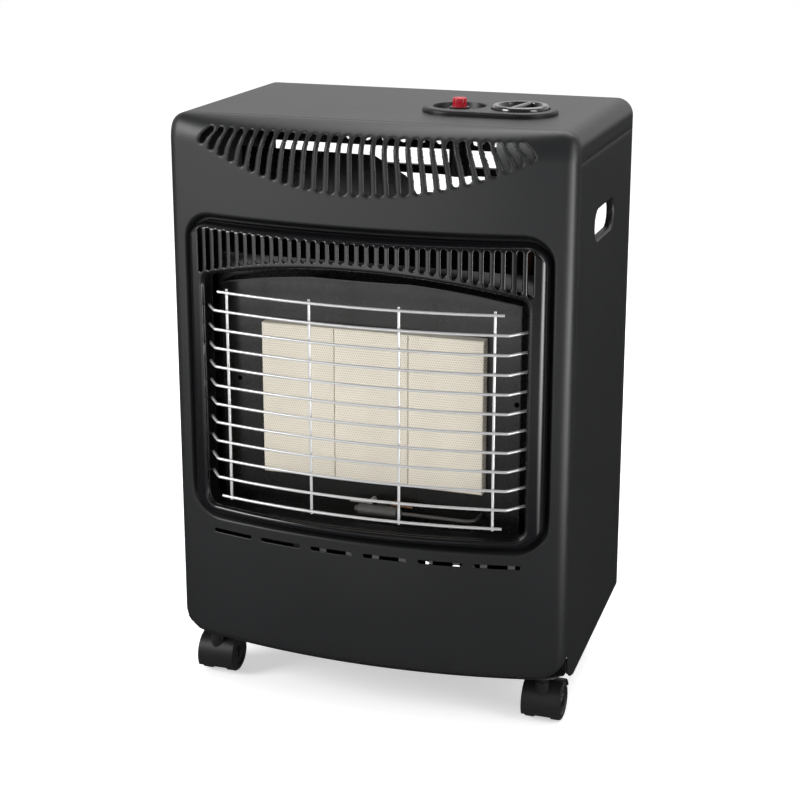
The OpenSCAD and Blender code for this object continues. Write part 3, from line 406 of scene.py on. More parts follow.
def finish(name, colour, rough, metallic=0.0, worn=None, rough_spread=0.08, grain=1500.0, bump=0.1,
           mottle=0.08, wear=0.1, coat=0.0, specular=0.5):
    """A finish with grain, mottling and wear; the worn colour is a lighter one unless it is given."""
    worn = worn or [min(1, c * 1.8 + 0.02) for c in colour]
    group_values = {"Colour": (*colour, 1), "Worn Colour": (*worn, 1), "Roughness": rough,
                    "Roughness Spread": rough_spread, "Grain Scale": grain, "Grain Bump": bump,
                    "Mottle": mottle, "Wear": wear}
    surface_values = {"Metallic": metallic, "Coat Weight": coat, "Coat Roughness": 0.12,
                      "Specular IOR Level": specular}
    return detailed_material(name, SURFACE, group_values, surface_values)


FINISHES = {
    "cabinet": dict(colour=(0.0125, 0.0130, 0.0140), rough=0.40, rough_spread=0.06, grain=1400, bump=0.08,
                    mottle=0.25, wear=0.03, specular=0.42),
    "bezel_black": dict(colour=(0.005, 0.005, 0.006), rough=0.20, rough_spread=0.05, grain=900, bump=0.03,
                        mottle=0.2, wear=0.02),
    "guard_nickel": dict(colour=(0.74, 0.74, 0.75), rough=0.34, metallic=0.6, worn=(0.6, 0.58, 0.54),
                         grain=700, bump=0.05, wear=0.12),
    "reflector_black": dict(colour=(0.008, 0.0075, 0.007), rough=0.28, rough_spread=0.12, grain=600,
                            bump=0.06, mottle=0.5, wear=0.12),
    "burner_steel": dict(colour=(0.42, 0.42, 0.42), rough=0.38, metallic=0.9, grain=500, wear=0.2),
    "manifold_steel": dict(colour=(0.52, 0.52, 0.53), rough=0.32, metallic=1.0, grain=500, wear=0.2),
    "brass": dict(colour=(0.70, 0.53, 0.24), rough=0.28, metallic=1.0, worn=(0.35, 0.24, 0.10), grain=700,
                  wear=0.2),
    "copper_pipe": dict(colour=(0.30, 0.16, 0.09), rough=0.40, metallic=0.9, worn=(0.10, 0.05, 0.03),
                        grain=600, wear=0.5),
    "valve_cast": dict(colour=(0.58, 0.59, 0.60), rough=0.45, metallic=0.9, grain=1200, bump=0.25,
                       wear=0.15),
    "spindle_steel": dict(colour=(0.6, 0.6, 0.61), rough=0.28, metallic=1.0, grain=800),
    "knob_black": dict(colour=(0.012, 0.012, 0.014), rough=0.18, rough_spread=0.05, grain=1800, bump=0.04,
                       wear=0.05, coat=0.6, specular=0.95),
    "plate_black": dict(colour=(0.010, 0.010, 0.011), rough=0.42, grain=2200, bump=0.15, wear=0.05),
    "button_red": dict(colour=(0.50, 0.006, 0.022), rough=0.30, worn=(0.75, 0.25, 0.25), grain=1500,
                       bump=0.04, wear=0.04),
    "pilot_metal": dict(colour=(0.13, 0.125, 0.12), rough=0.40, metallic=0.7, grain=900, wear=0.3),
    "electrode": dict(colour=(0.40, 0.39, 0.36), rough=0.18, worn=(0.4, 0.35, 0.3), grain=600, wear=0.1),
    "fastener": dict(colour=(0.5, 0.5, 0.52), rough=0.34, metallic=1.0, grain=700, wear=0.15),
    "castor_plate": dict(colour=(0.30, 0.31, 0.32), rough=0.36, metallic=0.9, grain=700, wear=0.2),
    "castor_hood": dict(colour=(0.013, 0.013, 0.014), rough=0.38, grain=2000, bump=0.2, mottle=0.2,
                        wear=0.06),
    "axle_steel": dict(colour=(0.10, 0.10, 0.105), rough=0.4, metallic=0.9, grain=700),
    "castor_wheel": dict(colour=(0.015, 0.015, 0.016), rough=0.36, grain=1600, bump=0.12, mottle=0.2,
                         wear=0.08),
}
MATERIALS = {name: finish(name, **values) for name, values in FINISHES.items()}
MATERIALS["ceramic"] = detailed_material("ceramic", PORES, {}, {"Roughness": 0.85})

for part in frame["record"]["subparts"]:
    ob = frame["nodes"][part["node"]]
    ob.data.materials.clear()
    ob.data.materials.append(MATERIALS[part["material_slot"]])


# ---------------------------------------------------------------- front panel

def vent_paths():
    """Centre lines of the fanned vent slots: the lean grows from 0.6 to 1.4 of its mean on the way up."""
    t = np.linspace(0, 1, 7)
    paths = []
    for k in range(-14, 15):
        foot, head = 12.13 * k - 0.0021 * k ** 3, 11.05 * k
        low = VENT_FOOT + VENT_ARC - math.sqrt(VENT_ARC ** 2 - foot ** 2) + VENT_R
        high = VENT_TOP - VENT_R
        paths.append(np.stack([foot + (head - foot) * (0.6 * t + 0.4 * t * t), low + (high - low) * t], -1))
    return paths


VENTS = vent_paths()


def to_vents(x, z):
    """Signed distance to the nearest vent slot."""
    d = np.full(np.shape(x), 1e9)
    for path in VENTS:
        near = np.abs(x - path[:, 0].mean()) < 30
        if near.any():
            d[near] = np.minimum(d[near], to_capsule(x[near], z[near], path, VENT_R))
    return d


def to_low_slots(x, z):
    """Signed distance to the nearest of the six level slots below the recess."""
    d = np.full(np.shape(x), 1e9)
    for c in LOW_SLOT_PITCH * (np.arange(6) - 2.5):
        path = [(c - LOW_SLOT_REACH, LOW_SLOT_Z), (c + LOW_SLOT_REACH, LOW_SLOT_Z)]
        d = np.minimum(d, to_capsule(x, z, path, LOW_SLOT_R))
    return d


def front_low(x):
    """Height of the front panel's lower edge, with its rounded corners."""
    a = np.clip(np.abs(x) - (HALF - FRONT_CORNER), 0, FRONT_CORNER)
    return FRONT_LOW + FRONT_CORNER - np.sqrt(FRONT_CORNER ** 2 - a * a)


def panel_rows(xs):
    """Depths and heights of the panel's rows: the lower flange, its rounding, the wall and the top roll.

    The flange and its rounding shrink to nothing towards the seam. With sin(f) running from 0 to 1 above
    ROLL_Z, z = ROLL_Z + (edge(x) - ROLL_Z) sin(f) and y = seam + (plan(x) - seam) cos(f), so the roll is
    as deep as the bow. The wall's rows lie close together where slots are cut."""
    edge = upper_edge(xs, TOP, HALF, TOP_ROUND)
    base, plan = front_low(xs), panel_y(xs)
    share = np.clip((SEAM - plan) / SIDE_ROLL, 0, 1)
    rows = [(plan + back * share, base) for back in (FRONT_FLANGE, 9.0, LOW_ROUND)]
    for a in np.radians([15, 30, 45, 60, 75]):
        rows.append((plan + (LOW_ROUND - LOW_ROUND * math.sin(a)) * share,
                     base + (LOW_ROUND - LOW_ROUND * math.cos(a)) * share))
    low = base + LOW_ROUND * share
    flat, even = FRONT_LOW + LOW_ROUND, 120.0
    wall = np.concatenate([np.linspace(flat, 171, 16), np.arange(173.2, 181.4, 0.8),
                           np.arange(184, 204, 1.25), np.linspace(206, 478, 30), np.arange(480, 512, 1.25),
                           np.linspace(514, 532, 6), np.arange(533.5, ROLL_Z, 1.2)])
    for z in wall:
        rising = low + (z - flat) / (even - flat) * (even - low)
        rows.append((plan, rising if z < even else np.full_like(xs, z)))
    for f in np.radians(np.concatenate([np.arange(0, 47, 2.55), np.linspace(51, 90, 9)])):
        rows.append((SEAM + (plan - SEAM) * math.cos(f), ROLL_Z + (edge - ROLL_Z) * math.sin(f)))
    return [np.array([row[i] for row in rows]) for i in (0, 1)]


def make_front_panel():
    """The bowed sheet as a grid, with its vent slots and low slots cut out.

    Points near a slot move onto its outline, each rib between the vent slots is rounded over towards its
    edges, and the recess is pressed in by depth (3 t^2 - 2 t^3), t running from 0 to 1 inside its outline."""
    turn = math.acos((TOUCH_X - ROLL_X) / SIDE_ROLL)
    side = HALF - SIDE_ROLL * (1 - np.cos(np.linspace(0, turn, 11)))
    xs = np.concatenate([-side, np.linspace(-TOUCH_X, TOUCH_X, 313)[1:-1], side[::-1]])
    y, z = panel_rows(xs)
    x = np.broadcast_to(xs, y.shape).copy()

    flange_rows = 8
    vented = (z > 530) & (z < 594) & (np.abs(x) < 176)
    vented[:flange_rows] = False
    x[vented], z[vented] = snap(x[vented], z[vented], to_vents, 0.62)
    slotted = (z > 170) & (z < 184) & (np.abs(x) < 168)
    x[slotted], z[slotted] = snap(x[slotted], z[slotted], to_low_slots, 0.5)
    sine = np.clip((z - ROLL_Z) / (upper_edge(x, TOP, HALF, TOP_ROUND) - ROLL_Z), 0, 1)
    moved = SEAM + (panel_y(x) - SEAM) * np.sqrt(1 - sine * sine)
    y = np.where(vented | slotted, moved, y)

    t = np.clip(-to_round_box(x, z, *RECESS) / RECESS_SLOPE, 0, 1)
    y = y + RECESS_DEPTH * t * t * (3 - 2 * t)
    edge = np.full(x.shape, 1e9)
    edge[vented] = to_vents(x[vented], z[vented])
    rib_round, rib_drop = 3.2, 1.3
    y = y + rib_drop * (1 - np.clip(edge / rib_round, 0, 1)) ** 2

    grid = np.stack([x, y, z], -1)
    faces = grid_faces(*x.shape)
    cx, _, cz = face_middles(grid, faces).T
    cut = (to_vents(cx, cz) < -0.02) | (to_low_slots(cx, cz) < -0.02)
    cut |= to_round_box(cx, cz, *RECESS) < -8.6
    surface = compact(grid, facing(grid, faces[~cut], (0, -1, 0.2)))
    add_piece("front_sheet", surface, "cabinet", ["front_panel"], wall=SHEET)


# ---------------------------------------------------------------- shell

def side_low(y):
    """Lower edge of the side panels: down by 16 mm behind the seam, then a slope up to the back."""
    return np.interp(y, [SEAM, SEAM + 2, SEAM + 4, SEAM + 8, SEAM + 13, SEAM + 26, BACK],
                     [66.5, 63.0, 60.3, 56.5, 53.5, 50.0, 66.0])


def hand_outline(count):
    """The hand hole, a slot with round ends, as points (y, z) at even steps."""
    r = HAND_HIGH / 2
    half = HAND_LONG / 2 - r
    straight, round_end = 2 * half, math.pi * r
    s = np.linspace(0, 1, count, endpoint=False) * 2 * (straight + round_end)
    turn = np.where(s < straight + round_end, s - straight, s - 2 * straight - round_end) / r
    stretches = [s < straight, s < straight + round_end, s < 2 * straight + round_end]
    y = np.select(stretches, [half - s, -half - r * np.sin(turn), -half + s - straight - round_end],
                  half + r * np.sin(turn))
    z = np.select(stretches, [r, r * np.cos(turn), -r], -r * np.cos(turn))
    return np.stack([HAND_Y + y, HAND_Z + z], -1)


def side_sheet(s):
    """One side: rings P = H + (B - H) t between the hand hole's outline H and the side's border B.

    The border is where rays from the hole's middle leave the side. A lip turns in at the hole along a
    quarter circle and runs on inwards."""
    hole = hand_outline(640)
    centre = np.array([HAND_Y, HAND_Z])

    def within(p):
        y, z = p.T
        return (y > SEAM + 0.5) & (y < BACK) & (z < SIDE_TOP) & (z > side_low(y))

    border = centre + (hole - centre) * reach_along(centre, hole - centre, within, 60)[:, None]
    for corner in ((SEAM + 0.5, 65.6), (SEAM + 8, 56.5), (SEAM + 26, 50.0), (BACK, 66.0), (BACK, SIDE_TOP),
                   (SEAM + 0.5, SIDE_TOP)):
        border[np.hypot(*(border - corner).T).argmin()] = corner
    ring = hole + (border - hole) * (np.linspace(0, 1, 13) ** 1.4)[:, None, None]
    out = outward(hole)
    rows = [spread(HALF - 8.0, *(hole - out * HAND_LIP).T)]
    for q in np.radians([90, 72, 54, 36, 18]):
        depth = HALF - HAND_LIP + HAND_LIP * math.cos(q)
        rows.append(spread(depth, *(hole - out * HAND_LIP * math.sin(q)).T))
    rows += [spread(HALF, *points.T) for points in ring]
    return sheet(np.stack(rows) * (s, 1, 1), (s, 0, 0), ring=True)


def rear_flange():
    """The flange that hangs from the top's rear edge, with eleven air holes and the hose inlet's hole."""
    air_pitch, air_r, air_z, air_x = 20.5, 4.0, 546.0, -2.0
    inlet_r, inlet_z = 6.2, 562.0
    xs = np.linspace(-(HALF - 8), HALF - 8, 431)
    zs = np.concatenate([[537, 539, 541], np.arange(542, 568.6, 0.9), np.linspace(571, TOP - 0.4, 8)])
    x, z = np.meshgrid(xs, zs)

    def to_holes(px, pz):
        n = np.clip(np.round((px - air_x) / air_pitch), -5, 5)
        air = np.hypot(px - air_pitch * n - air_x, pz - air_z) - air_r
        return np.minimum(air, np.hypot(px - KNOB_X, pz - inlet_z) - inlet_r)

    x, z = snap(x, z, to_holes, 0.5)
    z = np.minimum(z, upper_edge(x, TOP, HALF, TOP_ROUND) - 0.6)
    grid = spread(x, BACK, z)
    faces = grid_faces(*x.shape)
    cx, _, cz = face_middles(grid, faces).T
    return compact(grid, facing(grid, faces[to_holes(cx, cz) > -0.02], (0, 1, 0)))


def shell_top():
    """The top with its two rounded edges, 30 mm of each side, and an opening under the control plate."""
    a = np.linspace(0, math.pi / 2, 15)
    inner = HALF - TOP_ROUND
    level = np.concatenate([np.linspace(1 - inner, 22, 10), np.arange(24.5, 161, 2.5),
                            np.linspace(164, inner - 1, 3)])
    x = np.concatenate([[-HALF, -HALF], -inner - TOP_ROUND * np.cos(a), level, inner + TOP_ROUND * np.sin(a),
                        [HALF, HALF]])
    z = np.concatenate([[SIDE_TOP, TOP - 23], TOP - TOP_ROUND + TOP_ROUND * np.sin(a),
                        np.full(len(level), TOP), TOP - TOP_ROUND + TOP_ROUND * np.cos(a),
                        [TOP - 23, SIDE_TOP]])
    ys = np.concatenate([np.linspace(SEAM + 0.5, -48, 9), np.arange(-45.5, 29, 2.5),
                         np.linspace(32, BACK, 12)])
    grid = spread(x, ys[:, None], z)
    faces = grid_faces(*grid.shape[:2])
    cx, cy, cz = face_middles(grid, faces).T
    beside = np.hypot(cx - np.clip(cx, BUTTON_X, KNOB_X), cy - CONTROLS_Y) > PLATE_R - 5
    return compact(grid, facing(grid, faces[beside | (cz < TOP - 1)], (0, 0, 1)))


def make_shell():
    """The wrap: a rounded top, two sides with rolled hand holes, a rear flange with air holes, two rear
    strips with rounded edges, and the rails that the heat shield is screwed to."""
    parts = [shell_top(), side_sheet(-1), side_sheet(1), rear_flange()]
    strip_x = HALF - np.array([0.05, 0.3, 1.2, 4, 9, 14.2])
    strip_y = BACK - np.array([1.2, 0.3, 0.02, 0, 0, 0])
    strip_z = np.linspace(66.5, TOP - 18, 12)[:, None]
    rail_x = np.linspace(HALF - 1.2, HALF - 36, 8)
    rail_z = np.linspace(90, 466, 10)[:, None]
    for s in (-1, 1):
        parts.append(sheet(spread(s * strip_x, strip_y, strip_z), (0, 1, 0)))
        parts.append(sheet(spread(s * rail_x, SHIELD_Y, rail_z), (0, 1, 0)))
    add_piece("shell_sheet", joined(parts), "cabinet", ["outer_shell"], wall=SHEET, angle=30)


# ---------------------------------------------------------------- base and castors

def make_base():
    """The base pan: a sheet whose front follows the panel and whose front corners run back from 178 mm, with
    castor, air and screw holes, and upstands behind the panel's flange, at the heat shield and each side."""
    corner_x, side_x, rear_y, notch_x, notch_y = 178.0, 201.0, 39.9, 172.2, -59.6
    xs = np.linspace(-side_x, side_x, 269)
    corner = np.interp(np.abs(xs), [corner_x, 190, side_x], [float(panel_y(corner_x)) + 4, -107.0, -97.0])
    front = np.where(np.abs(xs) < corner_x, panel_y(xs) + 4, corner)
    rear = np.maximum(np.where(np.abs(xs) < notch_x, rear_y, notch_y), front + 1)
    y = front + (rear - front) * np.linspace(0, 1, 170)[:, None]
    x = np.broadcast_to(xs, y.shape)

    def to_holes(px, py):
        castor = np.hypot(np.abs(px) - CASTOR_X, py - CASTOR_Y) - 8.5
        n = np.clip(np.round(px / 50), -2, 2)
        air = np.hypot(px - 50 * n, py + 86) - 7.0
        screw = np.hypot(np.abs(px) - 110, py - 32) - 2.6
        return np.minimum(np.minimum(castor, air), screw)

    x, y = snap(x, y, to_holes, 0.8)
    grid = spread(x, y, PAN_Z)
    faces = grid_faces(*x.shape)
    cx, cy, _ = face_middles(grid, faces).T
    parts = [compact(grid, facing(grid, faces[to_holes(cx, cy) > -0.05], (0, 0, -1)))]

    front_x = np.linspace(-176, 176, 90)
    heights = PAN_Z + np.array([0.1, 2, 9, 16.9])[:, None]
    parts.append(sheet(spread(front_x, panel_y(front_x) + 10.7, heights), (0, -1, 0)))
    back_x = np.linspace(-171.9, 171.9, 30)
    back_heights = PAN_Z + np.array([0.1, 3, 14, 23.9])[:, None]
    parts.append(sheet(spread(back_x, SHIELD_Y, back_heights), (0, 1, 0)))
    side_y = np.linspace(-99.4, notch_y, 12)
    rising = np.maximum(heights, PAN_Z + np.interp(side_y, [-99.4, -94], [8, 0.1]))
    for s in (-1, 1):
        parts.append(sheet(spread(s * 203.7, side_y, rising), (s, 0, 0)))
    add_piece("base_sheet", joined(parts), "cabinet", ["base_pan"], smooth=False, wall=SHEET)


def make_castor_plates():
    """The two front castors' plates: a square with full corners, |x|^3 + |y|^3 = 19^3, and a stem boss."""
    t = np.linspace(0, 2 * math.pi, 96, endpoint=False)
    square = 19.0 / (np.abs(np.cos(t)) ** 3 + np.abs(np.sin(t)) ** 3) ** (1 / 3)
    profile = ((0.02, 14.0), (STEM_BORE, 14.0), (STEM_BORE, -2.5), (square - 0.4, -2.5), (square, -2.1),
               (square, -0.5), (square - 0.4, -0.1), (8.0, -0.1), (8.0, 15.5), (7.5, 16.0), (0.02, 16.0))
    for name, x in (("fl", -CASTOR_X), ("fr", CASTOR_X)):
        grid = turned([(r, PAN_Z + h) for r, h in profile], x, CASTOR_Y, len(t))
        faces = facing_out(grid, grid_faces(*grid.shape[:2], ring=True), (x, CASTOR_Y, PAN_Z))
        add_piece("castor_seat_" + name, (grid, faces), "castor_plate", ["castor_plate_" + name], angle=40)


# ---------------------------------------------------------------- bezel

def to_window(x, z):
    """Signed distance, near enough, to the bezel's window: straight sides, an arched top, round corners."""
    box = to_round_box(x, z, 165, 207, 448.5, 14, 12)
    tall = to_round_box(x, z, 151, 300, 480, 1, 1)
    arch = np.hypot(x, z + 175) - 640
    return np.maximum(np.minimum(box, tall), arch)


def to_louvres(x, z):
    """Signed distance to the nearest of the 35 louvre slots, whose feet stand on an arc."""
    cx = LOUVRE_PITCH * np.clip(np.round(x / LOUVRE_PITCH), -17, 17)
    foot = LOUVRE_FOOT - LOUVRE_ARC + np.sqrt(LOUVRE_ARC ** 2 - cx * cx) + LOUVRE_R
    return np.hypot(x - cx, z - np.clip(z, foot, LOUVRE_TOP)) - LOUVRE_R


def window_outline(count):
    """Points (x, z) of the window's outline at even steps, from rays out of a point inside it."""
    t = np.linspace(0, 2 * math.pi, 4 * count, endpoint=False)
    rays = np.stack([np.cos(t), np.sin(t)], -1)
    centre = np.array([0.0, WINDOW_Z])
    p = centre + rays * reach_along(centre, rays, lambda q: to_window(*q.T) < 0, 260)[:, None]
    p = np.concatenate([p, p[:1]])
    way = np.concatenate([[0], np.cumsum(np.hypot(*np.diff(p, axis=0).T))])
    steps = np.linspace(0, way[-1], count, endpoint=False)
    return np.stack([np.interp(steps, way, p[:, 0]), np.interp(steps, way, p[:, 1])], -1)


def make_bezel():
    """The bezel as a pillow, and the wall behind its window.

    Its face drops from its bow towards the panel by (1 - sin(a) sin(b)) of the depth between them, where
    a and b run from 0 at the outline to 90 degrees over BEZEL_ROUND. Slot and window edges roll in."""
    a = np.radians(np.array([0, 12, 24, 36, 48, 60, 70, 80]))
    low, high = 203.0, LOUVRE_TOP + 1
    across = np.linspace(-176, 176, 431)
    edge_x = BEZEL_HALF - BEZEL_ROUND + BEZEL_ROUND * np.cos(a)
    xs = np.concatenate([-edge_x, across, edge_x[::-1]])
    sine_x = np.concatenate([np.sin(a), np.ones(len(across)), np.sin(a[::-1])])
    up = np.concatenate([np.linspace(low, 207, 5), np.arange(208, 214, 1.0), np.linspace(216, 432, 22),
                         np.arange(434, high, 1.1)])
    sine_z = np.concatenate([np.sin(a), np.ones(len(up)), np.sin(a[::-1])])
    top = upper_edge(xs, high + BEZEL_ROUND, BEZEL_HALF, 23)
    base = low + high - upper_edge(xs, high + BEZEL_ROUND, BEZEL_HALF, 28)
    share = ((up - low) / (high - low))[:, None]
    rise = BEZEL_ROUND - BEZEL_ROUND * np.cos(a)[:, None]
    z = np.concatenate([base + rise, base + BEZEL_ROUND + share * (top - base - 2 * BEZEL_ROUND),
                        top - rise[::-1]])
    x = np.broadcast_to(xs, z.shape).copy()
    pillow = sine_z[:, None] * sine_x

    inside = pillow > 0.999
    slotted = inside & (z > 440) & (np.abs(x) < 173)
    x[slotted], z[slotted] = snap(x[slotted], z[slotted], to_louvres, 0.42)
    clear = inside & ~((z > 440) & (np.abs(to_louvres(x, z)) < 1.0))
    x[clear], z[clear] = snap(x[clear], z[clear], to_window, 0.6)
    face_y = bow(x, BEZEL_FRONT, BEZEL_R)
    y = face_y + (panel_y(x) + 8.4 - face_y) * (1 - pillow)
    y = y + 0.7 * (1 - np.clip(to_louvres(x, z) / 1.1, 0, 1)) ** 2
    window_roll = 4.0
    t = 1 - np.clip(to_window(x, z) / window_roll, 0, 1)
    y = y + window_roll * (1 - np.sqrt(np.maximum(1 - t * t, 0)))
    grid = np.stack([x, y, z], -1)
    faces = grid_faces(*x.shape)
    cx, _, cz = face_middles(grid, faces).T
    cut = (to_louvres(cx, cz) < -0.02) | (to_window(cx, cz) < -0.02)
    surface = compact(grid, facing(grid, faces[~cut], (0, -1, 0)))
    add_piece("bezel_sheet", surface, "bezel_black", ["louvre_bezel"], wall=1.0)

    outline = window_outline(360)
    x, z = outline.T
    nx, nz = outward(outline).T * 0.02
    depth = np.linspace(0, 20.4, 8)[:, None]
    wall = spread(x - nx * depth, bow(x, BEZEL_FRONT, BEZEL_R) + 3.6 + depth, z - nz * depth)
    faces = facing_out(wall, grid_faces(*wall.shape[:2], ring=True), (0, 0, WINDOW_Z), (-1, 0, -1))
    add_piece("window_wall", (wall, faces), "bezel_black", wall=1.0)


# ---------------------------------------------------------------- guard

def make_guard():
    """Twelve level wires on a bow, ten of them bent back to the window's sides, on four upright bars."""
    front = BEZEL_FRONT + 0.1 + WIRE_R
    bent_y = bow(149.5, front, WIRE_BOW)
    bend = [(149.3, 0.35), (150.2, 1.1), (151.0, 2.1), (157.0, 10.0), (163.2, 18.4)]
    parts = []
    for n in range(WIRE_COUNT):
        z = WIRE_LOW + n * (WIRE_HIGH - WIRE_LOW) / (WIRE_COUNT - 1)
        outer = n in (0, WIRE_COUNT - 1)
        x = np.linspace(-1, 1, 60) * (145.0 if outer else 148.4)
        path = spread(x, bow(x, front, WIRE_BOW), z)
        if not outer:
            side = np.array([(bx, bent_y + by, z) for bx, by in bend])
            path = np.concatenate([side[::-1] * (-1, 1, 1), path, side])
        parts.append(wire(path, WIRE_R))
    z = np.linspace(WIRE_LOW - 3.2, WIRE_HIGH + 3.2, 24)
    for x in (-135.7, -45.2, 45.2, 135.7):
        parts.append(wire(spread(x, bow(x, front, WIRE_BOW) + 2.6, z), WIRE_R))
    add_piece("guard_wires", joined(parts), "guard_nickel", ["wire_guard"], angle=50)


# ---------------------------------------------------------------- plaques

def make_plaques():
    """Three blocks with softened edges: each front is a grid whose border rolls back by 1.2 mm."""
    half, low, high, r = 38.1, 238.0, 394.0, 1.2
    front_y, back_y = -99.0, -86.3
    a = np.radians([0, 22, 45, 67, 90])
    roll = r * np.cos(a)
    across = np.linspace(-half + r, half - r, 9)[1:-1]
    up = np.linspace(low + r, high - r, 15)[1:-1]
    x = np.concatenate([-(half - r) - roll, across, half - r + roll[::-1]])
    z = np.concatenate([low + r - roll, up, high - r + roll[::-1]])[:, None]
    sine_x = np.concatenate([np.sin(a), np.ones(len(across)), np.sin(a[::-1])])
    sine_z = np.concatenate([np.sin(a), np.ones(len(up)), np.sin(a[::-1])])[:, None]
    for name, cx in (("left", -76.7), ("centre", 0.0), ("right", 76.7)):
        front = spread(x + cx, front_y + r * (1 - sine_z * sine_x), z)
        border = np.concatenate([front[0, :-1], front[:-1, -1], front[-1, :0:-1], front[:0:-1, 0]])
        wall = np.stack([border, border * (1, 0, 1) + (0, back_y, 0)])
        middle = (cx, 0, 0.5 * (low + high))
        faces = facing_out(wall, grid_faces(*wall.shape[:2], ring=True), middle, (1, 0, 1))
        parts = [sheet(front, (0, -1, 0)), (wall, faces)]
        add_piece("plaque_face_" + name, joined(parts), "ceramic", ["plaque_" + name])


# ---------------------------------------------------------------- controls

def make_control_plate():
    """Two polar sheets, one about each well, that meet on the line between them, and the oval's wall.

    Height falls from PLATE_TOP by the edge's quarter ellipse of 3 by 2.6 mm near the oval's border, and
    into each well past its lip."""
    middle = 0.5 * (KNOB_X + BUTTON_X)
    t = np.linspace(0, 2 * math.pi, 145)[:-1]
    c, s = np.cos(t), np.sin(t)
    parts = []
    for cx, well, floor_z, bore in ((BUTTON_X, 26.0, 599.0, 10.3), (KNOB_X, 28.5, 597.0, 6.3)):
        inward = c * np.sign(middle - cx) > 1e-9
        straight = np.where(inward, (KNOB_X - middle) / np.maximum(np.abs(c), 1e-9), 1e9)
        level = PLATE_R / np.maximum(np.abs(s), 1e-9)
        rim = np.where(inward, np.minimum(level, straight), PLATE_R)
        lip = well + 1.0
        radii = [bore, bore, well - 1.5, well - 0.4, well, well, well + 0.3, lip]
        heights = [floor_z - 2.4, floor_z, floor_z, floor_z + 0.4, floor_z + 1.5, PLATE_TOP - 1.0,
                   PLATE_TOP - 0.3, PLATE_TOP]
        profile = list(zip(radii, heights))
        for share in (0.2, 0.45, 0.7, 0.85, 0.94, 1.0):
            r = lip + (rim - lip) * share
            x, y = cx + r * c, r * s
            inset = PLATE_R - np.hypot(x - np.clip(x, BUTTON_X, KNOB_X), y)
            w = np.clip(1 - inset / 3.0, 0, 1)
            profile.append((r, PLATE_TOP - 2.6 * (1 - np.sqrt(1 - w * w))))
        parts.append(sheet(turned(profile, cx, CONTROLS_Y, len(t)), (0, 0, 1), ring=True))
    t = np.linspace(-math.pi / 2, math.pi / 2, 49)
    x = np.concatenate([KNOB_X + PLATE_R * np.cos(t), BUTTON_X - PLATE_R * np.cos(t)])
    y = np.concatenate([PLATE_R * np.sin(t), -PLATE_R * np.sin(t)])
    wall = spread(x, CONTROLS_Y + y, np.array([600.05, 601.5, PLATE_TOP - 2.6])[:, None])
    parts.append((wall, facing_out(wall, grid_faces(*wall.shape[:2], ring=True), (middle, CONTROLS_Y, TOP))))
    add_piece("control_oval", joined(parts), "plate_black", ["control_plate"], angle=40)


def make_knob():
    """A turned knob with a dished face, and a raised grip bar across the dish."""
    profile = [(6.2, 601.4), (24.0, 601.4), (27.0, 601.6), (27.4, 602.2), (27.4, 606.0), (27.0, 607.6),
               (26.0, 608.6), (24.6, 609.0), (22.8, 609.0), (21.6, 608.7), (21.1, 608.0), (20.6, 604.4),
               (19.6, 603.4), (0.02, 603.2)]
    dish = sheet(turned(profile, KNOB_X, CONTROLS_Y, 96), (0, 0, 1), ring=True)
    across = np.array([-3.6, -3.4, -2.9, -2.1, 0, 2.1, 2.9, 3.4, 3.6])
    height = np.array([603.3, 607.0, 608.2, 608.7, 608.8, 608.7, 608.2, 607.0, 603.3])
    along = np.linspace(-1, 1, 25)[:, None]
    x = 20.6 * along
    y = across * (1 - 0.10 * np.abs(along))
    turn = math.radians(80)
    bar = spread(KNOB_X + x * math.cos(turn) - y * math.sin(turn),
                 CONTROLS_Y + x * math.sin(turn) + y * math.cos(turn), height)
    parts = [dish, sheet(bar, (0, 0, 1))]
    add_piece("knob_dish", joined(parts), "knob_black", ["control_knob"], "knob", angle=40)


def make_button():
    """A ribbed button: radius 7 - 0.55 max(0, cos(12 t))^3 on its side, rounded over the top."""
    steps = 192
    t = np.linspace(0, 2 * math.pi, steps, endpoint=False)
    rib = 0.55 * np.maximum(0, np.cos(12 * t)) ** 3
    rows = ((4.05, 569.0, 0), (4.05, 598.4, 0), (6.9, 598.4, 0), (7.0, 599.0, 0), (7.0, 604.0, 0),
            (7.0, 604.6, 1), (7.0, 608.0, 1), (7.0, 611.4, 1), (6.8, 612.1, 1), (6.3, 612.7, 0.8),
            (5.4, 613.0, 0.3), (4.4, 613.0, 0), (4.0, 612.6, 0), (0.02, 612.5, 0))
    profile = [(r - rib * depth, z) for r, z, depth in rows]
    cap = sheet(turned(profile, BUTTON_X, CONTROLS_Y, steps), (0, 0, 1), ring=True)
    add_piece("button_cap", cap, "button_red", ["igniter_button"], "button", angle=50)


make_front_panel()
make_shell()
make_base()
make_castor_plates()
make_bezel()
make_guard()
make_plaques()
make_control_plate()
make_knob()
make_button()


# ---------------------------------------------------------------- stage, light and camera

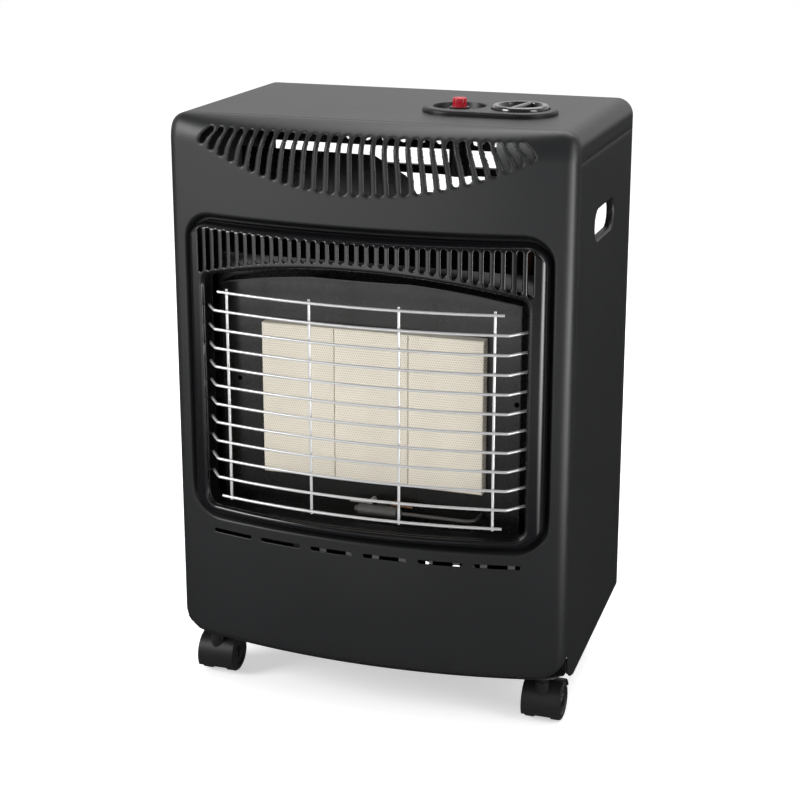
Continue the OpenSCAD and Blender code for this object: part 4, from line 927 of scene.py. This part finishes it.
def floor_material():
    """White with a little light of its own; glossy rays see it dark close by and lighter farther off.

    A brighter patch to the right gives the roll at the front panel's right side its highlight."""
    m = bpy.data.materials.new("floor_white")
    m.use_nodes = True
    tree = m.node_tree
    tree.nodes.clear()
    white = add_node(tree, "ShaderNodeBsdfPrincipled", {
        "Base Color": (0.92, 0.92, 0.92, 1), "Roughness": 0.9, "Specular IOR Level": 0.0,
        "Emission Color": (1, 1, 1, 1), "Emission Strength": 0.5})
    where = add_node(tree, "ShaderNodeTexCoord").outputs["Object"]
    place = add_node(tree, "ShaderNodeSeparateXYZ", {0: where}).outputs
    ahead = maths(tree, "MULTIPLY", maths(tree, "SUBTRACT", -0.65, place["Y"]), 0.55, clamp=True)
    left = maths(tree, "SUBTRACT", 0.9, maths(tree, "MULTIPLY", place["X"], 0.9), clamp=True)
    right = maths(tree, "MULTIPLY", maths(tree, "SUBTRACT", place["X"], 0.55), 1.0, clamp=True)
    near = maths(tree, "MULTIPLY", maths(tree, "SUBTRACT", -0.15, place["Y"]), 4.0, clamp=True)
    far = maths(tree, "MULTIPLY", maths(tree, "ADD", place["Y"], 1.5), 2.0, clamp=True)
    patch = maths(tree, "MULTIPLY", maths(tree, "MULTIPLY", right, maths(tree, "MULTIPLY", near, far)), 12.0)
    slope = maths(tree, "MULTIPLY", maths(tree, "MULTIPLY", ahead, left), 3.0)
    strength = maths(tree, "ADD", maths(tree, "ADD", slope, 0.03), patch)
    seen = add_node(tree, "ShaderNodeEmission", {"Strength": strength})
    glossy = add_node(tree, "ShaderNodeLightPath").outputs["Is Glossy Ray"]
    mix = add_node(tree, "ShaderNodeMixShader", {0: glossy, 1: white.outputs[0], 2: seen.outputs[0]})
    add_node(tree, "ShaderNodeOutputMaterial", {"Surface": mix.outputs[0]})
    return m


def make_floor():
    """A wide level floor under the heater."""
    mesh = bpy.data.meshes.new("floor")
    mesh.from_pydata([(-9, -7, 0), (9, -7, 0), (9, 11, 0), (-9, 11, 0)], [], [(0, 1, 2, 3)])
    mesh.materials.append(floor_material())
    floor = bpy.data.objects.new("floor", mesh)
    bpy.context.scene.collection.objects.link(floor)


def make_world():
    """A white surround: plain white to the camera, soft to diffuse rays, and darker ahead to glossy rays."""
    world = bpy.data.worlds.new("studio")
    bpy.context.scene.world = world
    world.use_nodes = True
    tree = world.node_tree
    tree.nodes.clear()
    where = add_node(tree, "ShaderNodeTexCoord").outputs["Generated"]
    place = add_node(tree, "ShaderNodeSeparateXYZ", {0: where}).outputs
    behind = maths(tree, "MULTIPLY", maths(tree, "ADD", place["Y"], 0.25), 1.2, clamp=True)
    shiny = maths(tree, "ADD", maths(tree, "MULTIPLY", behind, 0.62), 0.10)
    soft = maths(tree, "ADD", maths(tree, "MULTIPLY", behind, 0.2), 0.45)
    rays = add_node(tree, "ShaderNodeLightPath").outputs
    change = maths(tree, "MULTIPLY", maths(tree, "SUBTRACT", shiny, soft), rays["Is Glossy Ray"])
    strength = maths(tree, "ADD", soft, change)
    studio = add_node(tree, "ShaderNodeBackground", {"Color": (1, 1, 1, 1), "Strength": strength})
    plain = add_node(tree, "ShaderNodeBackground", {"Color": (1, 1, 1, 1), "Strength": 1.05})
    sockets = {0: rays["Is Camera Ray"], 1: studio.outputs[0], 2: plain.outputs[0]}
    mix = add_node(tree, "ShaderNodeMixShader", sockets)
    add_node(tree, "ShaderNodeOutputWorld", {"Surface": mix.outputs[0]})


def area_light(name, at, look, size, power):
    """A soft rectangular light at a point, turned to look at another."""
    light = bpy.data.lights.new(name, "AREA")
    light.energy = power
    light.shape = "RECTANGLE"
    light.size, light.size_y = size
    ob = bpy.data.objects.new(name, light)
    bpy.context.scene.collection.objects.link(ob)
    ob.location = at
    ob.rotation_euler = (Vector(look) - Vector(at)).to_track_quat("-Z", "Y").to_euler()


def make_camera():
    """The camera at the angle fitted to the photograph; shift_y slides the picture without a turn."""
    azimuth, elevation = math.radians(18.67), math.radians(15.82)
    distance, aim = 1877.6, np.array([-3.1, 0.0, 349.1])
    level = math.cos(elevation)
    away = np.array([math.sin(azimuth) * level, -math.cos(azimuth) * level, math.sin(elevation)])
    data = bpy.data.cameras.new("camera")
    data.sensor_width = 36.0
    data.lens = 82.05
    data.shift_y = -0.063
    data.clip_start, data.clip_end = 0.05, 60
    camera = bpy.data.objects.new("camera", data)
    bpy.context.scene.collection.objects.link(camera)
    camera.location = to_frame(aim + away * distance)[0]
    camera.rotation_euler = (-Vector(away)).to_track_quat("-Z", "Y").to_euler()
    bpy.context.scene.camera = camera


make_floor()
make_world()
area_light("key", (-2.5, -2.0, 1.7), (0, 0, 0.3), (1.4, 1.4), 70)
area_light("side", (2.6, -0.9, 1.2), (0.1, 0, 0.35), (1.2, 1.8), 22)
area_light("overhead", (0.2, 0.9, 2.6), (0, 0, 0.3), (2.2, 2.2), 44)
make_camera()
bpy.context.scene.view_settings.view_transform = "Standard"
